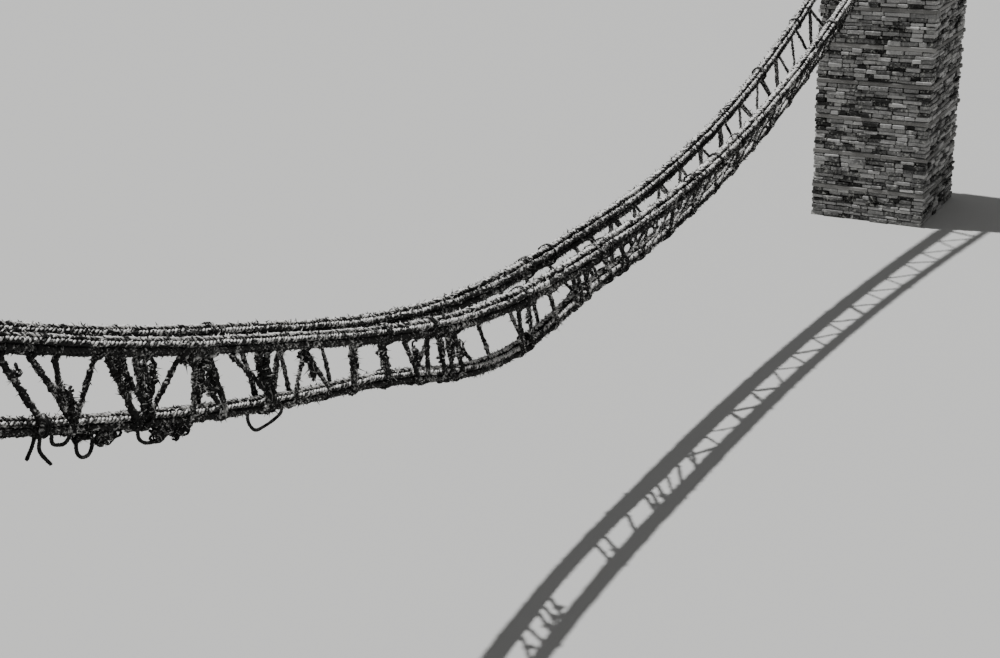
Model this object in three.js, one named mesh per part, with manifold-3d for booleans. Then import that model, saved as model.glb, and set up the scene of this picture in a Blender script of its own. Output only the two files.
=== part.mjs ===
// Rope suspension footbridge: two handrail cables and one foot cable, each a bundle of seven
// twig ropes, laced together into a V and slung between two dry-stone abutments.
// Units are millimetres. X runs along the bridge, Y across it, Z is up and the ground is z = 0.
// The origin is on the ground under mid-span. Left is +Y for someone who walks towards +X.
import * as THREE from 'three';
import { mergeVertices } from 'three/addons/utils/BufferGeometryUtils.js';
import Module from 'manifold-3d';

const wasm = await Module();
wasm.setup();

// Clear gap kept between neighbours that bear on each other.
const GAP = 0.3;

// Span and cables. Each cable hangs as a parabola between the saddles, with a dip before
// mid-span where the old ropes have stretched.
const FACE_X = 14600;
const SADDLE_X = 14900;
const SADDLE_HALF_RUN = 120;
const FOOT_HANG = { low: 3560, rise: 3681, dip: 400, dipX: -3900, dipReach: 3600 };
const RAIL_HANG = { low: 4350, rise: 3916, dip: 190, dipX: -4900, dipReach: 5000 };
const RAIL_OUT_MID = 340;
const RAIL_OUT_END = 507;
const NEAR_FLARE_POWER = 6;
const FAR_FLARE_POWER = 2;

// Ropes: seven six-sided ropes make one cable, one in the middle and six round it.
const ROPE_PITCH = 72;
const ROPE_FLAT = ROPE_PITCH - GAP;
const CABLE_HALF = ROPE_PITCH + ROPE_FLAT / 2;

// Lacing: a side rope wraps the handrail and the foot cable in turn.
const BAYS = 26;
const WRAP_WALL = 26;
const WRAP_INNER = CABLE_HALF + GAP;
const WRAP_OUTER = WRAP_INNER + WRAP_WALL;
const RAIL_WRAP_LENGTH = 150;
const FOOT_WRAP_LENGTH = 130;
const FOOT_WRAP_SHIFT = 110;
const LEG_RADIUS = 29;
const LEG_SIDES = 4;
const RAIL_LEG_SHIFT = 42;
const FOOT_LEG_SHIFT = 40;

// Abutments: one mass of dry masonry each, with a passage between two shoulders.
const ABUTMENT_DEPTH = 2900;
const ABUTMENT_WIDTH = 3000;
const PASSAGE_WIDTH = 700;
const SHOULDER_DEPTH = 2200;
const SHOULDER_LEVEL_RUN = 640;
const LEDGE_DROP = 260;
const BACKSTAY_CLEARANCE = 30;

// Logs and timbers.
const LOG_SIDES = 12;
const FOOT_LOG_HALF = 120;
const RAIL_LOG_HALF = 105;
const RAIL_LOG_LENGTH = 900;
const FOOT_LOG_LENGTH = 640;
const ANCHOR_LOG_HALF = 145;
const TIMBER_LEVELS = 6;
const TIMBER_SPACING = 950;
const TIMBER_FIRST = 850;
const TIMBER_HEIGHT = 120;
const TIMBER_WIDTH = 140;
const TIMBER_PROUD = 12;

// Slack side rope left hanging under the foot cable, as routes of its centre line. The loops
// leave the cable's underside, and the loose ends leave a turn of side rope round it.
const SLACK_RADIUS = 20;
const SLACK_SIDES = 8;
const SLACK_STEP = 50;
const SLACK_ROUTES = {
  hanging_loop_1: [
    [-11156.5, 0, 5528.2], [-11168.6, 0, 5494.3], [-11173, 4, 5458], [-11170, 9, 5420],
    [-11156, 14, 5384], [-11133, 19, 5350], [-11103, 23, 5320], [-11067, 26, 5295],
    [-11026, 28, 5275], [-10984, 28, 5260], [-10941, 27, 5249], [-10898, 25, 5243],
    [-10859, 22, 5244], [-10822, 18, 5249], [-10785, 13, 5257], [-10749, 8, 5269],
    [-10721, 4, 5283], [-10700, 1, 5303], [-10687.3, 0, 5326.1], [-10676.5, 0, 5356.2],
  ],
  hanging_loop_2: [
    [-11961.5, 0, 5816.5], [-11971.6, 0, 5788.2], [-11986, -4, 5759], [-12002, -9, 5731],
    [-12015, -14, 5702], [-12023, -19, 5671], [-12024, -23, 5638], [-12016, -26, 5608],
    [-11999, -28, 5581], [-11974, -29, 5563], [-11944, -29, 5552], [-11911, -28, 5550],
    [-11881, -26, 5558], [-11854, -23, 5575], [-11832, -19, 5598], [-11814, -14, 5626],
    [-11801, -9, 5656], [-11792, -4, 5688], [-11786.9, 0, 5721], [-11776.5, 0, 5750.2],
  ],
  hanging_loop_3: [
    [-9474.5, 0, 4942.4], [-9483.7, 0, 4909.7], [-9485, 4, 4876], [-9476, 9, 4840],
    [-9462, 14, 4805], [-9442, 19, 4770], [-9420, 23, 4736], [-9393, 26, 4702],
    [-9361, 29, 4673], [-9321, 31, 4654], [-9277, 31, 4646], [-9230, 30, 4646],
    [-9183, 29, 4646], [-9138, 27, 4647], [-9095, 25, 4650], [-9053, 22, 4656],
    [-9012, 18, 4664], [-8972, 13, 4675], [-8939, 8, 4687], [-8913, 3, 4700],
    [-8894, 1, 4720], [-8883.2, 0, 4741.7], [-8874.5, 0, 4772.5],
  ],
  hanging_loop_4: [
    [-12268, 0, 5948.2], [-12276, 0, 5929.8], [-12282, 2, 5908], [-12281, 5, 5882],
    [-12272, 8, 5855], [-12254, 11, 5832], [-12232, 13, 5818], [-12206, 14, 5806],
    [-12178, 13, 5795], [-12152, 11, 5788], [-12123, 8, 5790], [-12097, 5, 5802],
    [-12077, 2, 5820], [-12066, 0, 5838.8], [-12058, 0, 5857.1],
  ],
  loose_end_1: [
    [-12415.5, 0, 5983.4], [-12428.2, 0, 5954.1], [-12438, 2, 5923], [-12443, 5, 5897],
    [-12444, 8, 5871], [-12440, 11, 5845], [-12432, 13, 5820], [-12422, 15, 5796],
    [-12410, 17, 5773], [-12397, 19, 5750], [-12383, 20, 5727], [-12369, 21, 5705],
    [-12355, 21, 5682], [-12341, 20, 5660], [-12327, 19, 5637],
  ],
  loose_end_2: [
    [-12483.5, 0, 6012.9], [-12492.2, 0, 5992.7], [-12499, 3, 5976], [-12505, 7, 5960],
    [-12510, 12, 5944], [-12515, 17, 5928], [-12520, 23, 5912], [-12525, 29, 5897],
    [-12530, 35, 5882], [-12535, 42, 5867], [-12540, 49, 5852], [-12544, 56, 5838],
    [-12548, 62, 5824], [-12552, 69, 5810], [-12556, 75, 5796], [-12560, 81, 5782],
  ],
};

const LEFT = 1;
const RIGHT = -1;
const ACROSS = new THREE.Vector3(0, 1, 0);

// Finishes.
const dull = (color, roughness) => new THREE.MeshStandardMaterial({ color, roughness, metalness: 0 });
const twigRope = () => dull(0x8b8072, 0.95);
const lacingRope = () => dull(0x766b5e, 0.95);
const stone = () => dull(0x8f8b84, 0.9);
const weatheredWood = () => dull(0x80776b, 0.88);

const bridge = new THREE.Group();

function addMesh(name, geometry, material) {
  const mesh = new THREE.Mesh(geometry, material);
  mesh.name = name;
  bridge.add(mesh);
  return mesh;
}

// Booleans on closed geometries.
function toSolid(geometry) {
  const bare = geometry.clone();
  bare.deleteAttribute('normal');
  bare.deleteAttribute('uv');
  const merged = mergeVertices(bare, 1e-3);
  return new wasm.Manifold(new wasm.Mesh({
    numProp: 3,
    vertProperties: new Float32Array(merged.attributes.position.array),
    triVerts: new Uint32Array(merged.index.array),
  }));
}

function toGeometry(solid) {
  const mesh = solid.getMesh();
  const geometry = new THREE.BufferGeometry();
  geometry.setAttribute('position', new THREE.BufferAttribute(new Float32Array(mesh.vertProperties), 3));
  geometry.setIndex(new THREE.BufferAttribute(new Uint32Array(mesh.triVerts), 1));
  geometry.computeVertexNormals();
  return geometry;
}

// Hexagon with two level sides, given its half height.
function hexagon(target, half, centreU = 0, centreV = 0) {
  const corner = half / Math.cos(Math.PI / 6);
  for (let i = 0; i < 6; i += 1) {
    const angle = (i * Math.PI) / 3;
    const u = centreU + corner * Math.cos(angle);
    const v = centreV + corner * Math.sin(angle);
    if (i === 0) target.moveTo(u, v);
    else target.lineTo(u, v);
  }
  target.closePath();
  return target;
}

// A cable's centre line: straight runs between stations, mitred where they meet.
class CablePath extends THREE.Curve {
  constructor(stations) {
    super();
    this.stations = stations;
  }

  getSpacedPoints() {
    return this.stations;
  }

  computeFrenetFrames() {
    const frames = { tangents: [], normals: [], binormals: [] };
    const last = this.stations.length - 1;
    this.stations.forEach((station, i) => {
      const before = this.runDirection(Math.max(i - 1, 0));
      const after = this.runDirection(Math.min(i, last - 1));
      const tangent = before.clone().add(after).normalize();
      const normal = ACROSS.clone().addScaledVector(tangent, -ACROSS.dot(tangent)).normalize();
      const bend = after.clone().sub(before).normalize();
      const stretch = 1 / tangent.dot(after) - 1;
      const mitred = (axis) => axis.clone().addScaledVector(bend, stretch * axis.dot(bend));
      frames.tangents.push(tangent);
      frames.normals.push(mitred(normal));
      frames.binormals.push(mitred(tangent.clone().cross(normal)));
    });
    return frames;
  }

  runDirection(index) {
    return this.stations[index + 1].clone().sub(this.stations[index]).normalize();
  }

  // Place on the cable at a given x, with the run's own axes.
  at(x) {
    const index = this.stations.findIndex((station, i) => i > 0 && station.x >= x) - 1;
    const start = this.stations[index];
    const end = this.stations[index + 1];
    const along = this.runDirection(index);
    const point = start.clone().lerp(end, (x - start.x) / (end.x - start.x));
    const across = ACROSS.clone().addScaledVector(along, -ACROSS.dot(along)).normalize();
    return { point, along, across, above: along.clone().cross(across) };
  }
}

// Levels that follow from the cables.
const saddleFront = SADDLE_X - SADDLE_HALF_RUN;
const saddleBack = SADDLE_X + SADDLE_HALF_RUN;
const dipShare = ({ dipX, dipReach }, x) => Math.max(0, 1 - Math.abs(x - dipX) / dipReach);
const hangZ = (hang, x) => (
  hang.low + hang.rise * (x / SADDLE_X) ** 2 - hang.dip * Math.sin((dipShare(hang, x) * Math.PI) / 2) ** 2
);
const footSaddleZ = hangZ(FOOT_HANG, saddleFront);
const railSaddleZ = hangZ(RAIL_HANG, saddleFront);
const deckZ = footSaddleZ - CABLE_HALF - 2 * FOOT_LOG_HALF - 2 * GAP;
const shoulderZ = railSaddleZ - CABLE_HALF - 2 * RAIL_LOG_HALF - 2 * GAP;
const ledgeZ = deckZ - LEDGE_DROP;
const stepX = FACE_X + SHOULDER_DEPTH;
const backX = FACE_X + ABUTMENT_DEPTH;
const anchor = { x: stepX + ANCHOR_LOG_HALF + GAP, z: ledgeZ + ANCHOR_LOG_HALF + GAP };
const anchorReach = ANCHOR_LOG_HALF / Math.cos(Math.PI / LOG_SIDES) + CABLE_HALF + GAP;

// Downward slope of a backstay from its saddle to the anchor log, passing over the log.
function backstaySlope(saddleZ) {
  const run = anchor.x - saddleBack;
  const drop = saddleZ - anchor.z;
  return Math.atan2(drop, run) - Math.asin(anchorReach / Math.hypot(run, drop));
}

// Corner of two runs that both pass the anchor log at its reach.
function anchorCorner(slopeA, slopeB) {
  const a = new THREE.Vector2(Math.sin(slopeA), Math.cos(slopeA));
  const b = new THREE.Vector2(Math.sin(slopeB), Math.cos(slopeB));
  const corner = a.clone().add(b).multiplyScalar(anchorReach / (1 + a.dot(b)));
  return { x: anchor.x + corner.x, z: anchor.z + corner.y };
}

function backstay(saddleZ) {
  const slope = backstaySlope(saddleZ);
  const middle = (slope + Math.PI / 2) / 2;
  return [
    { x: saddleFront, z: saddleZ },
    { x: saddleBack, z: saddleZ },
    anchorCorner(slope, middle),
    anchorCorner(middle, Math.PI / 2),
    { x: anchor.x + anchorReach, z: ledgeZ + GAP },
  ];
}

// A cable from end to end. Its stations stand every second bay, and every bay where it dips.
function cable(hang, firstBay, outAt) {
  const saddleZ = hangZ(hang, saddleFront);
  const far = backstay(saddleZ).map(({ x, z }) => new THREE.Vector3(x, outAt(x), z));
  const near = backstay(saddleZ).map(({ x, z }) => new THREE.Vector3(-x, outAt(-x), z)).reverse();
  const middle = [];
  for (let i = firstBay; i < BAYS - 1; i += 1) {
    const x = -saddleFront + i * bay;
    const isSecond = (i - firstBay) % 2 === 0;
    if (isSecond || dipShare(hang, x) > 0) {
      middle.push(new THREE.Vector3(x, outAt(x), hangZ(hang, x)));
    }
  }
  return new CablePath([...near, ...middle, ...far]);
}

// The handrails stand further apart towards the shoulders, the near ones only close to them.
const railOut = (x) => {
  const power = x < 0 ? NEAR_FLARE_POWER : FAR_FLARE_POWER;
  const share = Math.min(Math.abs(x) / saddleFront, 1) ** power;
  return RAIL_OUT_MID + (RAIL_OUT_END - RAIL_OUT_MID) * share;
};

const bay = (2 * saddleFront) / BAYS;
const footCable = cable(FOOT_HANG, 0.5, () => 0);
const railCables = {
  [LEFT]: cable(RAIL_HANG, 2, railOut),
  [RIGHT]: cable(RAIL_HANG, 2, (x) => -railOut(x)),
};
const sideNames = { [LEFT]: 'left', [RIGHT]: 'right' };

// The seven ropes of a cable.
function addRopes(prefix, path) {
  for (let i = 0; i < 7; i += 1) {
    const angle = Math.PI / 6 + (i * Math.PI) / 3;
    const reach = i === 6 ? 0 : ROPE_PITCH;
    const centre = [reach * Math.cos(angle), reach * Math.sin(angle)];
    const section = hexagon(new THREE.Shape(), ROPE_FLAT / 2, ...centre);
    const geometry = new THREE.ExtrudeGeometry(section, {
      steps: path.stations.length - 1,
      extrudePath: path,
    });
    addMesh(`${prefix}_rope_${i + 1}`, geometry, twigRope());
  }
}

addRopes('left_handrail', railCables[LEFT]);
addRopes('right_handrail', railCables[RIGHT]);
addRopes('foot', footCable);

// A wrap is a six-sided sleeve round a cable.
function wrap(place, length) {
  const section = hexagon(new THREE.Shape(), WRAP_OUTER);
  section.holes.push(hexagon(new THREE.Path(), WRAP_INNER));
  const geometry = new THREE.ExtrudeGeometry(section, { depth: length, bevelEnabled: false });
  geometry.translate(0, 0, -length / 2);
  const basis = new THREE.Matrix4().makeBasis(place.across, place.above, place.along);
  geometry.applyMatrix4(basis.setPosition(place.point));
  return toSolid(geometry);
}

// The middle of a wrap's outer face, with the face's outward normal.
function wrapFace(place, angle, shift) {
  const normal = place.across.clone().multiplyScalar(Math.cos(angle));
  normal.addScaledVector(place.above, Math.sin(angle));
  const point = place.point.clone().addScaledVector(normal, WRAP_OUTER).addScaledVector(place.along, shift);
  return { point, normal };
}

// A straight leg of rope between two wrap faces. Each end lies on a plane parallel to its face:
// half way into the wrap where the two are one rope, or just clear of it.
function leg(low, high, lowOffset, highOffset) {
  const axis = high.point.clone().sub(low.point).normalize();
  const first = new THREE.Vector3().crossVectors(axis, ACROSS).normalize();
  const second = new THREE.Vector3().crossVectors(first, axis);
  const geometry = new THREE.CylinderGeometry(LEG_RADIUS, LEG_RADIUS, 1, LEG_SIDES, 1);
  const corners = geometry.attributes.position;
  for (let i = 0; i < corners.count; i += 1) {
    const face = corners.getY(i) < 0 ? low : high;
    const offset = corners.getY(i) < 0 ? lowOffset : highOffset;
    const corner = low.point.clone();
    corner.addScaledVector(first, corners.getX(i)).addScaledVector(second, corners.getZ(i));
    const onFace = face.point.clone().addScaledVector(face.normal, offset);
    const slide = onFace.sub(corner).dot(face.normal) / axis.dot(face.normal);
    corner.addScaledVector(axis, slide);
    corners.setXYZ(i, corner.x, corner.y, corner.z);
  }
  return toSolid(geometry);
}

const footWrapPlace = (index, side) => footCable.at(-saddleFront + index * bay - side * FOOT_WRAP_SHIFT);
const railWrapPlace = (index, side) => railCables[side].at(-saddleFront + (index + 0.5) * bay);

// One half of a side's lacing: wraps on the handrail and on the foot cable, and the legs between.
function addLacing(name, side, firstBay, lastBay) {
  const inward = WRAP_WALL / -2;
  let lacing = null;
  const join = (solid) => {
    lacing = lacing ? lacing.add(solid) : solid;
  };
  const footAngle = side === LEFT ? Math.PI / 6 : (5 * Math.PI) / 6;
  for (let k = firstBay; k < lastBay; k += 1) {
    const railPlace = railWrapPlace(k, side);
    join(wrap(railPlace, RAIL_WRAP_LENGTH));
    for (const step of [0, 1]) {
      const footIndex = k + step;
      if (footIndex > 0 && footIndex < BAYS) {
        const footPlace = footWrapPlace(footIndex, side);
        const ownsWrap = footIndex > firstBay;
        if (ownsWrap && step === 1) join(wrap(footPlace, FOOT_WRAP_LENGTH));
        const towards = step === 1 ? 1 : -1;
        const low = wrapFace(footPlace, footAngle, -towards * FOOT_LEG_SHIFT);
        const high = wrapFace(railPlace, -Math.PI / 2, towards * RAIL_LEG_SHIFT);
        join(leg(low, high, ownsWrap ? inward : GAP, inward));
      }
    }
  }
  addMesh(name, toGeometry(lacing), lacingRope());
}

for (const side of [LEFT, RIGHT]) {
  addLacing(`${sideNames[side]}_lacing_near`, side, 0, BAYS / 2);
  addLacing(`${sideNames[side]}_lacing_far`, side, BAYS / 2, BAYS);
}

// Slack loops and loose ends.
for (const [name, route] of Object.entries(SLACK_ROUTES)) {
  const path = new THREE.CatmullRomCurve3(route.map((point) => new THREE.Vector3(...point)));
  const section = new THREE.Shape();
  for (let i = 0; i < SLACK_SIDES; i += 1) {
    const angle = ((i + 0.5) * 2 * Math.PI) / SLACK_SIDES;
    const corner = [SLACK_RADIUS * Math.cos(angle), SLACK_RADIUS * Math.sin(angle)];
    if (i === 0) section.moveTo(...corner);
    else section.lineTo(...corner);
  }
  section.closePath();
  const steps = Math.round(path.getLength() / SLACK_STEP);
  const geometry = new THREE.ExtrudeGeometry(section, { steps, extrudePath: path });
  addMesh(name, geometry, lacingRope());
}

// Abutments. Shapes are drawn for the far end and turned half round for the near end.
function box(minX, maxX, minY, maxY, minZ, maxZ) {
  const geometry = new THREE.BoxGeometry(maxX - minX, maxY - minY, maxZ - minZ);
  return geometry.translate((minX + maxX) / 2, (minY + maxY) / 2, (minZ + maxZ) / 2);
}

const halfWidth = ABUTMENT_WIDTH / 2;
const timberZ = (level) => TIMBER_FIRST + level * TIMBER_SPACING - TIMBER_HEIGHT / 2;

// A course of lacing timbers: four beams halved into each other, as one ring round the abutment.
function timberCourse(level, gap) {
  const inset = TIMBER_WIDTH - TIMBER_PROUD + gap;
  const outer = TIMBER_PROUD;
  const ring = new THREE.Shape();
  ring.moveTo(FACE_X - outer, -halfWidth - outer);
  ring.lineTo(backX + outer, -halfWidth - outer);
  ring.lineTo(backX + outer, halfWidth + outer);
  ring.lineTo(FACE_X - outer, halfWidth + outer);
  ring.closePath();
  const core = new THREE.Path();
  core.moveTo(FACE_X + inset, inset - halfWidth);
  core.lineTo(backX - inset, inset - halfWidth);
  core.lineTo(backX - inset, halfWidth - inset);
  core.lineTo(FACE_X + inset, halfWidth - inset);
  core.closePath();
  ring.holes.push(core);
  const geometry = new THREE.ExtrudeGeometry(ring, { depth: TIMBER_HEIGHT + 2 * gap, bevelEnabled: false });
  return geometry.translate(0, 0, timberZ(level) - gap);
}

function masonry() {
  const railSlope = backstaySlope(railSaddleZ);
  const clear = (CABLE_HALF + BACKSTAY_CLEARANCE) / Math.cos(railSlope);
  const underStay = (x) => railSaddleZ - (x - saddleBack) * Math.tan(railSlope) - clear;
  const levelEnd = FACE_X + SHOULDER_LEVEL_RUN;
  const profile = new THREE.Shape();
  profile.moveTo(FACE_X, 0);
  profile.lineTo(backX, 0);
  profile.lineTo(backX, ledgeZ);
  profile.lineTo(stepX, ledgeZ);
  profile.lineTo(stepX, Math.max(underStay(stepX), deckZ));
  profile.lineTo(levelEnd, Math.min(underStay(levelEnd), shoulderZ));
  profile.lineTo(levelEnd, shoulderZ);
  profile.lineTo(FACE_X, shoulderZ);
  profile.closePath();
  const geometry = new THREE.ExtrudeGeometry(profile, { depth: ABUTMENT_WIDTH, bevelEnabled: false });
  geometry.rotateX(Math.PI / 2).translate(0, halfWidth, 0);
  const half = PASSAGE_WIDTH / 2;
  let solid = toSolid(geometry);
  solid = solid.subtract(toSolid(box(FACE_X - 1, backX, -half, half, deckZ, shoulderZ + 1)));
  for (let level = 0; level < TIMBER_LEVELS; level += 1) {
    solid = solid.subtract(toSolid(timberCourse(level, GAP)));
  }
  return solid;
}

function log(half, length, x, y, z) {
  const radius = half / Math.cos(Math.PI / LOG_SIDES);
  const geometry = new THREE.CylinderGeometry(radius, radius, length, LOG_SIDES);
  geometry.rotateY(Math.PI / LOG_SIDES).translate(x, y, z);
  return geometry;
}

for (const end of ['near', 'far']) {
  const turn = end === 'near' ? Math.PI : 0;
  const place = (name, geometry, material) => {
    geometry.rotateZ(turn);
    addMesh(`${end}_${name}`, geometry, material);
  };
  const nameOf = (side) => (turn ? sideNames[-side] : sideNames[side]);
  place('masonry', toGeometry(masonry()), stone());
  for (let level = 0; level < TIMBER_LEVELS; level += 1) {
    place(`timber_course_${level + 1}`, timberCourse(level, 0), weatheredWood());
  }
  const footLogZ = deckZ + GAP + FOOT_LOG_HALF;
  const railLogZ = shoulderZ + GAP + RAIL_LOG_HALF;
  place('foot_saddle_log', log(FOOT_LOG_HALF, FOOT_LOG_LENGTH, SADDLE_X, 0, footLogZ), weatheredWood());
  for (const side of [LEFT, RIGHT]) {
    const centreY = side * (PASSAGE_WIDTH / 2 + RAIL_LOG_LENGTH / 2 - 60);
    place(
      `${nameOf(side)}_rail_saddle_log`,
      log(RAIL_LOG_HALF, RAIL_LOG_LENGTH, SADDLE_X, centreY, railLogZ),
      weatheredWood(),
    );
  }
  place('anchor_log', log(ANCHOR_LOG_HALF, ABUTMENT_WIDTH, anchor.x, 0, anchor.z), weatheredWood());
}

export default bridge;
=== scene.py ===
"""Rope suspension footbridge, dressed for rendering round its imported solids.

Twisted twig ropes, their lashings and slanting side ropes, dry-laid slab masonry with timber
courses, and saddle logs. All lengths are in metres, +Z is up and +X runs along the span from the
near bank to the far bank.
"""

import logging
import math
import zlib
from dataclasses import dataclass
from enum import Enum
from typing import Iterable, Optional, Sequence, Union

import bmesh
import bpy
import numpy as np
from mathutils import Matrix, Vector

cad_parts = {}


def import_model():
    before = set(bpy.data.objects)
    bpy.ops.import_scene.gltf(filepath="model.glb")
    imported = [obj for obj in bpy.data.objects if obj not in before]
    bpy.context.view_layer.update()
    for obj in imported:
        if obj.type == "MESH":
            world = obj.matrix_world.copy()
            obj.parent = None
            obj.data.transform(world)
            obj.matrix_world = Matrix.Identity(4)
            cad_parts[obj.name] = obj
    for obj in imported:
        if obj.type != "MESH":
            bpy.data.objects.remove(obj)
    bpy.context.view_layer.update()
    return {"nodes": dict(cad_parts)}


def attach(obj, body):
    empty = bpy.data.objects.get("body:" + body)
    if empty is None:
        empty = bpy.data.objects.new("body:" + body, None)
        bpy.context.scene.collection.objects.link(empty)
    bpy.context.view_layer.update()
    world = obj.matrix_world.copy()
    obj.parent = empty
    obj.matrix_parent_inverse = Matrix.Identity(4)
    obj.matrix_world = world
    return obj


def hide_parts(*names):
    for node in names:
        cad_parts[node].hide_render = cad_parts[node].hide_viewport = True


LOG = logging.getLogger("footbridge")

# Driving sizes, the same as the solids'.
FACE_X = 14.6
SADDLE_X = 14.9
SADDLE_HALF_RUN = 0.12
RAIL_OUT_MID = 0.34
RAIL_OUT_END = 0.507
NEAR_FLARE_POWER = 6
FAR_FLARE_POWER = 2
ROPE_PITCH = 0.072
CABLE_HALF = 0.10785
ABUTMENT_DEPTH = 2.9
ABUTMENT_HALF_WIDTH = 1.5
PASSAGE_HALF_WIDTH = 0.35
SHOULDER_DEPTH = 2.2
SHOULDER_LEVEL_RUN = 0.64
LEDGE_DROP = 0.26
BACKSTAY_CLEARANCE = 0.03
FOOT_LOG_HALF = 0.12
FOOT_LOG_LENGTH = 0.64
RAIL_LOG_HALF = 0.105
RAIL_LOG_LENGTH = 0.9
RAIL_LOG_OVERHANG = 0.06
ANCHOR_LOG_HALF = 0.145
TIMBER_LEVELS = 6
TIMBER_SPACING = 0.95
TIMBER_FIRST = 0.85
TIMBER_HEIGHT = 0.12
TIMBER_WIDTH = 0.14
TIMBER_PROUD = 0.012

# Levels that don't depend on how the cables hang.
SADDLE_FRONT = SADDLE_X - SADDLE_HALF_RUN
SADDLE_BACK = SADDLE_X + SADDLE_HALF_RUN
STEP_X = FACE_X + SHOULDER_DEPTH
BACK_X = FACE_X + ABUTMENT_DEPTH
ANCHOR_X = STEP_X + ANCHOR_LOG_HALF
ANCHOR_REACH = ANCHOR_LOG_HALF / math.cos(math.pi / 12) + CABLE_HALF
ROPE_HALF = CABLE_HALF - ROPE_PITCH


@dataclass(frozen=True)
class Hang:
    """How a cable hangs: as a parabola between its saddles, with a dip before mid span.

    Attributes:
        low: Its height at mid span.
        rise: Its rise from there to over the middle of the saddles.
        dip: The depth of the dip.
        dip_x: Where the dip is deepest.
        dip_reach: How far the dip reaches to each side.
    """

    low: float
    rise: float
    dip: float
    dip_x: float
    dip_reach: float

    def z(self, x: np.ndarray) -> np.ndarray:
        """Returns the cable's height over each x."""
        share = np.maximum(0, 1 - np.abs(x - self.dip_x) / self.dip_reach)
        return self.low + self.rise * (x / SADDLE_X) ** 2 - self.dip * np.sin(share * math.pi / 2) ** 2

    @property
    def saddle_z(self) -> float:
        """The cable's height over its saddles."""
        return float(self.z(np.array(SADDLE_FRONT)))


FOOT_HANG = Hang(3.56, 3.681, 0.4, -3.9, 3.6)
RAIL_HANG = Hang(4.35, 3.916, 0.19, -4.9, 5.0)

DECK_Z = FOOT_HANG.saddle_z - CABLE_HALF - 2 * FOOT_LOG_HALF
SHOULDER_Z = RAIL_HANG.saddle_z - CABLE_HALF - 2 * RAIL_LOG_HALF
LEDGE_Z = DECK_Z - LEDGE_DROP
ANCHOR_Z = LEDGE_Z + ANCHOR_LOG_HALF


def backstay_slope(saddle_z: float) -> float:
    """Works out how steeply a cable runs down from its saddle to the anchor log.

    Args:
        saddle_z: The cable's height over its saddles.

    Returns:
        The downward slope, in radians.
    """
    run = ANCHOR_X - SADDLE_BACK
    drop = saddle_z - ANCHOR_Z
    return math.atan2(drop, run) - math.asin(ANCHOR_REACH / math.hypot(run, drop))


def rail_out(x: np.ndarray) -> np.ndarray:
    """Works out how far a handrail lies from the middle of the bridge.

    Args:
        x: Places along the span.

    Returns:
        Its distance over each of them.
    """
    power = np.where(x < 0, NEAR_FLARE_POWER, FAR_FLARE_POWER)
    share = np.minimum(np.abs(x) / SADDLE_FRONT, 1) ** power
    return RAIL_OUT_MID + (RAIL_OUT_END - RAIL_OUT_MID) * share


class Side(Enum):
    """The side of the bridge, as the sign of its Y."""

    LEFT = 1
    RIGHT = -1


class End(Enum):
    """The bank that an abutment stands on, as the sign of its X."""

    NEAR = -1
    FAR = 1

    @property
    def prefix(self) -> str:
        """What the names of this bank's solids start with."""
        return self.name.lower()


def seeded(name: str) -> np.random.Generator:
    """Returns a random generator whose numbers depend only on a piece's name."""
    return np.random.default_rng(zlib.crc32(name.encode()))


class Wobble:
    """A smooth repeatable wandering value: sine waves of several lengths added together."""

    WAVES = 6
    GAIN = 1.6

    def __init__(self, rng: np.random.Generator, size: float, longest: float, shortest: float) -> None:
        """Draws the waves.

        Args:
            rng: The source of their lengths and phases.
            size: About the largest value that they reach together.
            longest: The longest wave, in metres.
            shortest: The shortest wave, in metres.
        """
        lengths = np.geomspace(longest, shortest, self.WAVES) * rng.uniform(0.85, 1.15, self.WAVES)
        sizes = lengths**0.5
        self.sizes = size * sizes / sizes.sum() * self.GAIN
        self.wavenumbers = 2 * math.pi / lengths
        self.phases = rng.uniform(0, 2 * math.pi, self.WAVES)

    def at(self, s: np.ndarray) -> np.ndarray:
        """Returns the value at each length in s."""
        return np.sin(np.outer(s, self.wavenumbers) + self.phases) @ self.sizes


def lengths_along(line: np.ndarray) -> np.ndarray:
    """Returns how far along a line each of its points is."""
    gaps = np.linalg.norm(np.diff(line, axis=0), axis=1)
    return np.concatenate([[0.0], np.cumsum(gaps)])


def units(rows: np.ndarray) -> np.ndarray:
    """Returns each row of numbers as a direction of length one."""
    return rows / np.linalg.norm(rows, axis=1)[:, None]


def evenly(points: np.ndarray, step: float, spread: float = 0.0) -> np.ndarray:
    """Lays points at even steps along a line, and rounds its corners.

    Args:
        points: The line's corners, one a row.
        step: The distance between the points to lay.
        spread: The length over which a corner is rounded.

    Returns:
        The new points, with the line's own ends.
    """
    s = lengths_along(points)
    count = max(int(round(s[-1] / step)), 3) + 1
    places = np.linspace(0, s[-1], count)
    line = np.column_stack([np.interp(places, s, points[:, i]) for i in range(3)])
    reach = min(int(round(spread / step / 2)), (count - 1) // 2)
    if reach < 1:
        return line
    head = 2 * line[0] - line[reach:0:-1]
    tail = 2 * line[-1] - line[-2 : -reach - 2 : -1]
    padded = np.vstack([head, line, tail])
    kernel = np.hanning(2 * reach + 3)[1:-1]
    kernel = kernel / kernel.sum()
    return np.column_stack([np.convolve(padded[:, i], kernel, "valid") for i in range(3)])


# A direction that no rope starts along.
ODD_DIRECTION = (0.31, 0.9, 0.2)


def carried_frames(line: np.ndarray) -> tuple[np.ndarray, np.ndarray]:
    """Carries two directions along a line without twist.

    Args:
        line: The line's points, one a row.

    Returns:
        The two directions at each point, square to the line and to each other.
    """
    tangents = units(np.gradient(line, axis=0))
    first = np.cross(tangents[0], ODD_DIRECTION)
    firsts = []
    for tangent in tangents:
        first = first - tangent * first.dot(tangent)
        first = first / np.linalg.norm(first)
        firsts.append(first)
    firsts = np.array(firsts)
    return firsts, np.cross(tangents, firsts)


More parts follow.
